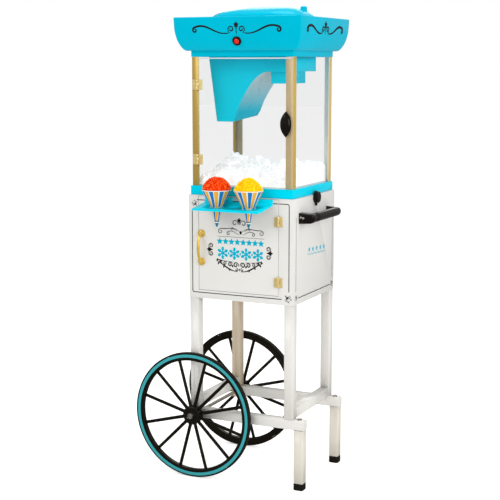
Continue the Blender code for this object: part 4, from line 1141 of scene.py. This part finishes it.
def make_rail_ends():
    washer = mm((0.0, 0.0), (8.0, 0.0), (8.0, 0.9), (7.4, 1.3), (0.0, 1.3))
    head = mm((0.0, 1.2), (6.6, 1.2), (6.6, 4.3), (5.8, 5.0), (0.0, 5.2))
    for depth in ("front", "rear"):
        rail = Box("lower_rail_" + depth)
        half = rail.half.y
        loops = []
        for out, inset in mm((0.0, 0.9), (1.2, 0.9), (1.9, 1.6), (2.1, 2.8)):
            loop = rounded_loop(half - inset, half - inset, 0.0030, 5, rail.mid.y, rail.mid.z)
            loops.append([at(rail.high.x + out - 0.0002, y, z) for y, z in loop])
        make("rail_end_plug_" + depth, "cart", loft(loops, True, True), "frame")
        post = Box("foot_post_" + depth)
        place = Matrix.Translation(at(post.mid.x - 0.0015, rail.mid.y, rail.high.z))
        bolt = Shape().add(lathe(washer, 36), "steel", place)
        bolt.add(lathe(head, 6), "steel", place @ Matrix.Rotation(0.3, 4, "Z"))
        bolt.piece("rail_bolt_" + depth, "cart", (), 30.0)
        loops = []
        for out, corner, drop in mm((0.4, 3.0, 0.3), (0.4, 3.0, 2.2), (-1.0, 2.0, 2.2), (-1.0, 2.0, 0.3)):
            loop = rounded_loop(half + out, half + out, corner, 5, post.mid.x, rail.mid.y)
            loops.append(level(loop, post.high.z - drop))
        make("post_collar_" + depth, "cart", loft(loops, closed=True), "frame")


def make_foot_caps():
    for depth in ("front", "rear"):
        node = "foot_cap_" + depth
        box = Box(node)
        tall = 2 * box.half.z
        rows = list(mm((0.0, -2.2, 4.0), (0.6, -1.0, 5.0), (2.0, 0.0, 5.5)))
        for start in (4.0, 7.4, 10.8, 14.2):
            rows += mm((start, 0, 5.5), (start + 0.6, -0.7, 5), (start + 1.4, -0.7, 5), (start + 2, 0, 5.5))
        top = mm((1.4, 0, 5.5), (0.4, -0.6, 5), (0, -1.6, 4))
        rows += [(tall - drop, out, corner) for drop, out, corner in top]
        loops = []
        for height, out, corner in rows:
            half = box.half.x + out
            loops.append(level(rounded_loop(half, half, corner, 5, box.mid.x, box.mid.y), height))
        make("foot_shoe_" + depth, "cart", loft(loops, True, True), "rubber", [node], 50.0)


# Printed lines and ornaments: thin solids that lie on a surface


def on_front(u, v, w):
    return at(u, -CABINET_Y - w, v)


def on_side(u, v, w):
    return at(CABINET_X + w, u, v)


def on_crown_front(u, v, w):
    return at(u, -NECK_Y - flare(v) - w, v)


def on_crown_side(u, v, w):
    return at(NECK_X + flare(v) + w, u, v)


INK_LOW = 0.00003
INK_HIGH = 0.00014
INK_STEP = 0.000012
INK_LAYERS = itertools.cycle(range(9))
PETAL_STEPS = 14


def ink_top():
    """The next of nine heights, so that neighbouring strokes that cross don't share a face."""
    return INK_HIGH + INK_STEP * next(INK_LAYERS)


def rotated(points, origin, angle):
    cos, sin = math.cos(angle), math.sin(angle)
    return [(origin[0] + u * cos - v * sin, origin[1] + u * sin + v * cos) for u, v in points]


def polar(centre, radius, turn):
    return centre[0] + radius * math.cos(turn), centre[1] + radius * math.sin(turn)


def ribbon(path, widths, surface):
    """A printed stroke along a 2D path, as a thin closed solid on a surface."""
    loops = []
    top = ink_top()
    for i, (u, v) in enumerate(path):
        run = Vector(path[min(i + 1, len(path) - 1)]) - Vector(path[max(i - 1, 0)])
        run = run.normalized() if run.length > 1e-9 else Vector((1.0, 0.0))
        a, b = -run.y * widths[i] / 2, run.x * widths[i] / 2
        corners = ((a, b, INK_LOW), (a, b, top), (-a, -b, top), (-a, -b, INK_LOW))
        loops.append([surface(u + du, v + dv, w) for du, dv, w in corners])
    return loft(loops, True, True)


def patch(outline, surface):
    """A printed patch with a convex or star-shaped outline round its own middle."""
    count = len(outline)
    middle = (sum(u for u, v in outline) / count, sum(v for u, v in outline) / count)
    top = ink_top()
    points = [surface(u, v, INK_LOW) for u, v in outline] + [surface(u, v, top) for u, v in outline]
    points += [surface(*middle, INK_LOW), surface(*middle, top)]
    faces = []
    for i in range(count):
        j = (i + 1) % count
        faces += [(i, j, count + j, count + i), (j, i, 2 * count), (count + i, count + j, 2 * count + 1)]
    return points, faces


def spiral(centre, start_radius, end_radius, start, end, steps=34):
    points = []
    for t in (i / steps for i in range(steps + 1)):
        radius = start_radius + (end_radius - start_radius) * t**0.8
        points.append(polar(centre, radius, math.radians(start + (end - start) * t)))
    return points


def lead(start, heading, curl, pull, steps=22):
    """A smooth stroke that leaves start along heading, in degrees, and runs into a curl's first point."""
    begin, end = Vector(start), Vector(curl[0])
    into = (Vector(curl[1]) - end).normalized()
    reach = (end - begin).length * pull
    away = Vector(polar((0.0, 0.0), 1.0, math.radians(heading)))
    controls = (begin, begin + away * reach, end - into * reach, end)
    points = []
    for t in (i / steps for i in range(steps)):
        weights = ((1 - t) ** 3, 3 * t * (1 - t) ** 2, 3 * t * t * (1 - t), t**3)
        points.append(tuple(sum((w * c for w, c in zip(weights, controls)), Vector((0.0, 0.0)))))
    return points + list(curl)


def petal(centre, length, width, heading):
    """A leaf that starts at centre and points along heading."""
    outline = []
    for i in range(2 * PETAL_STEPS):
        side = 1 if i < PETAL_STEPS else -1
        t = i / PETAL_STEPS if side > 0 else 2 - i / PETAL_STEPS
        across = 0.0
        if 0 < t < 1:
            across = side * width / 2 * math.sin(math.pi * t) ** 0.8 * (1.15 - 0.5 * t)
        outline.append((length * t, across))
    return rotated(outline, centre, math.radians(heading))


def star(centre, radius):
    return [polar(centre, radius * (0.5 if i % 2 else 1.0), math.radians(90 + 36 * i)) for i in range(10)]


class Ornament:
    """Strokes and leaves in their own small plane, placed on a surface with a scale, a turn and a mirror."""

    def __init__(self, surface, look, origin, scale=1.0, turn=0.0, shape=None):
        self.surface = surface
        self.look = look
        self.origin = origin
        self.scale = scale
        self.turn = math.radians(turn)
        self.shape = shape or Shape()

    def placed(self, points, mirror):
        scaled = [(u * mirror * self.scale, v * self.scale) for u, v in points]
        return rotated(scaled, self.origin, self.turn)

    def stroke(self, points, wide, thin, both=True):
        """Adds a stroke that narrows to the share thin of its width at its ends."""
        last = len(points) - 1
        swells = [max(0.0, math.sin(math.pi * i / last)) ** 1.2 for i in range(last + 1)]
        widths = [wide * self.scale * (thin + (1 - thin) * share) for share in swells]
        for mirror in (1, -1) if both else (1,):
            self.shape.add(ribbon(self.placed(points, mirror), widths, self.surface), self.look)

    def curls(self, *rows):
        """Adds spirals. A row holds a spiral's values, the stroke's width and the share of it at the ends."""
        for *values, wide, thin in rows:
            self.stroke(spiral(*values), wide, thin)

    def leaf(self, outline, both=True):
        for mirror in (1, -1) if both else (1,):
            self.shape.add(patch(self.placed(outline, mirror), self.surface), self.look)

    def palmette(self, height, size):
        """Three leaves over a drop."""
        self.leaf(petal((0.0, height), size, size * 0.66, 90), False)
        self.leaf(petal((0.0, height), size * 0.85, size * 0.50, 40))
        self.leaf(petal((0.0, height - size * 0.1), size * 0.62, size * 0.36, -8))
        self.leaf(petal((0.0, height), size * 1.1, size * 0.40, -90), False)

    def piece(self, name, body):
        self.shape.piece(name, body, (), 60.0)


def crown_scroll(name, surface, origin, scale, bold):
    scroll = Ornament(surface, "ink", origin, scale)
    end_curl = spiral((0.1262, 0.0), 0.0078, 0.0024, 88, -300)
    scroll.stroke(lead((0.0240, -0.0085), -10, end_curl, 0.42, 40), 0.0054 * bold, 0.5)
    scroll.curls(((0.0158, 0.0018), 0.0106, 0.0026, -70, 400, 0.0034 * bold, 0.75))
    scroll.palmette(0.0110, 0.0115 * bold)
    scroll.stroke([(0.0, 0.004 - 0.0022 * i) for i in range(8)], 0.0032, 0.4, False)
    scroll.piece(name, "cart")


def make_crown_scrolls():
    crown_scroll("crown_scroll_front", on_crown_front, (0.0005, 1.3040), 1.015, 1.0)
    crown_scroll("crown_scroll_right", on_crown_side, (-0.0040, 1.3045), 1.0, 1.35)


def line(surface, start, end, width):
    path = [tuple(Vector(start).lerp(Vector(end), i / 8)) for i in range(9)]
    return ribbon(path, [width] * 9, surface)


def corner_ornament(shape, surface, origin, turn, scale):
    corner = Ornament(surface, "ink", origin, scale, turn, shape)
    corner.curls(
        ((0.0062, 0.0046), 0.0044, 0.0016, -60, 330, 26, 0.0016, 0.6),
        ((0.0052, 0.0122), 0.0032, 0.0012, 200, -160, 22, 0.0014, 0.6),
    )
    corner.leaf(petal((0.0, -0.001), 0.0090, 0.0046, 90), False)
    corner.leaf(petal((0.0, 0.0), 0.0062, 0.0034, 30))
    corner.leaf(petal((0.0, 0.0), 0.0080, 0.0034, -90), False)


def stripes(shape, surface, width, *paths):
    for corners in paths:
        path = rounded(corners, 0.006, 6)
        shape.add(ribbon(path, [width] * len(path), surface), "ink")


WIDE = 0.0024
NARROW = 0.0016


def make_pinstripes():
    door = Box("cabinet_door")
    left, right, bottom, top = -0.1540, 0.1510, 0.5550, 0.8250
    fixed = Shape()
    stripes(
        fixed, on_front, WIDE,
        [(left, top - 0.032), (left, bottom), (right - 0.022, bottom)],
        [(right, bottom + 0.022), (right, top), (door.high.x + 0.0015, top)],
        [(left + 0.015, top), (door.low.x - 0.0010, top)],
    )  # fmt: skip
    corner_ornament(fixed, on_front, (left + 0.0115, top - 0.0135), 45, 0.85)
    corner_ornament(fixed, on_front, (right - 0.0065, bottom + 0.0065), -135, 1.0)
    fixed.piece("pinstripe_front", "cart", (), 60.0)
    moving = Shape()
    stripes(moving, on_front, WIDE, [(door.low.x + 0.0015, top), (door.high.x - 0.0015, top)])
    moving.piece("pinstripe_door", "cabinet_door", (), 60.0)
    near, far, bottom, top = -0.1360, 0.1385, 0.5560, 0.7860
    side = Shape()
    for edge in (near, far):
        stripes(side, on_side, NARROW, [(edge, bottom + 0.020), (edge, top)])
    stripes(side, on_side, WIDE, [(near + 0.016, bottom), (far - 0.016, bottom)])
    corner_ornament(side, on_side, (near + 0.005, bottom + 0.005), 135, 0.85)
    corner_ornament(side, on_side, (far - 0.005, bottom + 0.005), -135, 0.85)
    side.piece("pinstripe_right", "cart", (), 60.0)


def snowflake(shape, centre, radius, surface):
    centre = Vector(centre)
    for angle in range(90, 450, 60):
        away = Vector(polar((0.0, 0.0), 1.0, math.radians(angle)))
        shape.add(line(surface, centre, centre + away * radius, radius * 0.24), "teal_ink")
        for share, size in ((0.48, 0.30), (0.74, 0.24)):
            root = centre + away * radius * share
            for side in (-1, 1):
                branch = Vector(polar((0.0, 0.0), 1.0, math.radians(angle + side * 55)))
                shape.add(line(surface, root, root + branch * radius * size, radius * 0.19), "teal_ink")


def make_door_graphics():
    """A panel of plain ornaments: a flourish, stars, snowflakes and scrolls."""
    teal = Shape()
    for i in range(8):
        teal.add(patch(star((-0.0655 + 0.0186 * i, 0.7090), 0.0104), on_front), "teal_ink")
    for i in range(4):
        snowflake(teal, (-0.0560 + 0.0370 * i, 0.6755), 0.0178, on_front)
    for i in range(3):
        u, v = -0.0375 + 0.0370 * i, 0.6755
        diamond = [(u, v + 0.005), (u + 0.003, v), (u, v - 0.005), (u - 0.003, v)]
        teal.add(patch(diamond, on_front), "teal_ink")
    teal.piece("door_print_teal", "cabinet_door", (), 60.0)
    flourish = Ornament(on_front, "ink", (0.001, 0.7370))
    for start, heading, curl, pull, steps, wide in (
        ((0.0, 0.0), 38, ((0.0640, 0.0010), 0.0085, 0.0022, 110, -330), 0.5, 34, 0.0022),
        ((0.0060, -0.0060), 20, ((0.0390, -0.0042), 0.0058, 0.0016, 90, -320), 0.5, 22, 0.0019),
        ((0.0120, 0.0030), 50, ((0.0270, 0.0095), 0.0040, 0.0014, 150, -240), 0.5, 22, 0.0016),
    ):
        flourish.stroke(lead(start, heading, spiral(*curl), pull, steps), wide, 0.5)
    flourish.leaf([(0.0, 0.0060), (0.0046, 0.0), (0.0, -0.0060), (-0.0046, 0.0)], False)
    flourish.shape.add(line(on_front, (-0.073, 0.7232), (0.075, 0.7232), 0.0010), "ink")
    flourish.piece("door_print_flourish", "cabinet_door")
    lower = Ornament(on_front, "ink", (-0.0035, 0.6395))
    lower.stroke(lead((0.0730, 0.0130), 200, [(0.0100, -0.0150), (0.0050, -0.0155)], 0.4, 34), 0.0044, 0.4)
    lower.curls(
        ((0.0110, 0.0035), 0.0088, 0.0026, 200, -260, 0.0036, 0.6),
        ((0.0288, 0.0045), 0.0072, 0.0022, 160, -280, 0.0033, 0.6),
        ((0.0450, 0.0070), 0.0058, 0.0018, 150, -270, 0.0029, 0.6),
        ((0.0090, -0.0095), 0.0050, 0.0016, 90, 420, 0.0029, 0.6),
        ((0.0580, 0.0085), 0.0044, 0.0014, 150, -250, 0.0026, 0.6),
    )
    lower.stroke(lead((0.0740, 0.0140), 150, [(0.0500, 0.0135), (0.0200, 0.0120)], 0.4), 0.0026, 0.4)
    for u, v, heading in (
        (0.0600, 0.0075, 80), (0.0480, 0.0010, -75), (0.0640, 0.0090, -60),
        (0.0300, -0.0070, -80), (0.0200, -0.0040, 70), (0.0700, 0.0118, 100),
    ):  # fmt: skip
        lower.leaf(petal((u, v), 0.0085, 0.0056, heading))
    lower.leaf(petal((0.0, -0.0140), 0.0085, 0.0044, 90), False)
    lower.piece("door_print_scroll", "cabinet_door")
    for side, x, turn in (("left", -0.0920, 90), ("right", 0.0862, -90)):
        edge = Ornament(on_front, "ink", (x, 0.6835), 1.14, turn)
        edge.curls(
            ((0.0098, 0.0010), 0.0086, 0.0024, 190, -200, 0.0021, 0.6),
            ((0.0095, 0.0000), 0.0050, 0.0018, 20, 380, 20, 0.0018, 0.6),
        )
        edge.palmette(0.0050, 0.0086)
        edge.piece("door_print_" + side, "cabinet_door")
    crest = Ornament(on_front, "ink", (-0.0040, 0.7635), 1.22)
    crest.curls(((0.0110, 0.0), 0.0082, 0.0024, 200, -190, 0.0020, 0.6))
    crest.palmette(0.0048, 0.0080)
    crest.piece("door_print_crest", "cabinet_door")


def make_side_print():
    """Five small stars over a wavy line on the right side."""
    print_row = Ornament(on_side, "teal_ink", (0.0160, 0.6775), 1.0, -3.0)
    for i in range(5):
        print_row.leaf(star((-0.0560 + 0.0280 * i, 0.0035), 0.0085), False)
    wave = [(-0.0700 + 0.0035 * i, -0.0095 + 0.0022 * math.sin(0.9 * i)) for i in range(41)]
    print_row.stroke(wave, 0.0020, 0.6, False)
    print_row.piece("side_print", "cart")


# Studio

SKY = (0.97, 0.985, 1.0, 1.0)
WHITE = (1.0, 1.0, 1.0, 1.0)
# Focal length in widths of the picture, place, and degrees down and to the left
CAMERA_REACH = 2.4308
CAMERA_PLACE = (1.489, -3.232, 1.209)
CAMERA_DOWN = 8.67
CAMERA_TURN = 25.35
LAMP_SIZE = 1.6
LAMPS = (
    ("key", (-1.5, -2.6, 2.7), 29.0),
    ("side", (2.6, -1.1, 1.5), 30.0),
    ("top", (0.2, 0.1, 3.3), 30.0),
    ("back", (-0.8, 2.6, 2.2), 12.0),
)


def show(name, data):
    made = bpy.data.objects.new(name, data)
    bpy.context.scene.collection.objects.link(made)
    return made


def mixed(tree, share, first, second):
    """The first shader where share is 0, and the second where it is 1."""
    mix = new_node(tree, "MixShader")
    for source, socket in ((share, "Fac"), (first, 1), (second, 2)):
        tree.links.new(source, mix.inputs[socket])
    return mix.outputs["Shader"]


def make_floor():
    shape = bmesh.new()
    bmesh.ops.create_grid(shape, x_segments=1, y_segments=1, size=30.0)
    mesh = bpy.data.meshes.new("floor")
    shape.to_mesh(mesh)
    shape.free()
    pale = Look("pale_floor", (0.90, 0.89, 0.87), 0.8).set(Specular_IOR_Level=0.1)
    pale.shade(pale.noise(0.4, 2.0), 0.01)
    glow, dim, mirrored = [
        new_node(pale.tree, "Emission", Strength=strength).outputs["Emission"]
        for strength in (0.50, 0.16, 0.20)
    ]
    ray = new_node(pale.tree, "LightPath").outputs
    added = new_node(pale.tree, "AddShader")
    pale.link(pale.shader.outputs["BSDF"], added.inputs[0])
    pale.link(mixed(pale.tree, ray["Is Camera Ray"], dim, glow), added.inputs[1])
    surface = mixed(pale.tree, ray["Is Glossy Ray"], added.outputs["Shader"], mirrored)
    pale.link(surface, pale.tree.nodes["Material Output"].inputs["Surface"])
    mesh.materials.append(pale.material)
    show("floor", mesh)


def make_sky():
    world = bpy.data.worlds.new("studio")
    bpy.context.scene.world = world
    world.use_nodes = True
    tree = world.node_tree
    light, backdrop, dim = [
        new_node(tree, "Background", Color=color, Strength=strength).outputs["Background"]
        for color, strength in ((SKY, 0.62), (WHITE, 1.0), (SKY, 0.36))
    ]
    ray = new_node(tree, "LightPath").outputs
    seen = mixed(tree, ray["Is Camera Ray"], light, backdrop)
    surface = mixed(tree, ray["Is Glossy Ray"], seen, dim)
    tree.links.new(surface, tree.nodes["World Output"].inputs["Surface"])


def make_lamps():
    for name, place, power in LAMPS:
        data = bpy.data.lights.new(name, "AREA")
        data.size = LAMP_SIZE
        data.energy = power
        lamp = show(name, data)
        lamp.location = at(*place)
        lamp.rotation_euler = (at(0.0, 0.0, 0.75) - lamp.location).to_track_quat("-Z", "Y").to_euler()


def make_camera():
    data = bpy.data.cameras.new("camera")
    data.sensor_width = 36.0
    data.lens = data.sensor_width * CAMERA_REACH
    data.clip_end = 100.0
    camera = show("camera", data)
    camera.location = at(*CAMERA_PLACE)
    camera.rotation_euler = (math.radians(90.0 - CAMERA_DOWN), 0.0, math.radians(CAMERA_TURN))
    bpy.context.scene.camera = camera


for build in (
    make_paints, make_metals, make_soft_looks, make_camera, dress_frame,
    make_hood, make_lid, make_chute, make_panes, make_lens_grip, make_switch,
    make_ice_pile, make_snow_cones, make_shelf, make_hinge_screws, make_pull, make_push_handle,
    make_drain_knob, make_wheels, make_axle_ends, make_rail_ends, make_foot_caps, make_crown_scrolls,
    make_pinstripes, make_door_graphics, make_side_print, make_floor, make_sky, make_lamps,
):  # fmt: skip
    build()
bpy.context.scene.view_settings.view_transform = "Standard"
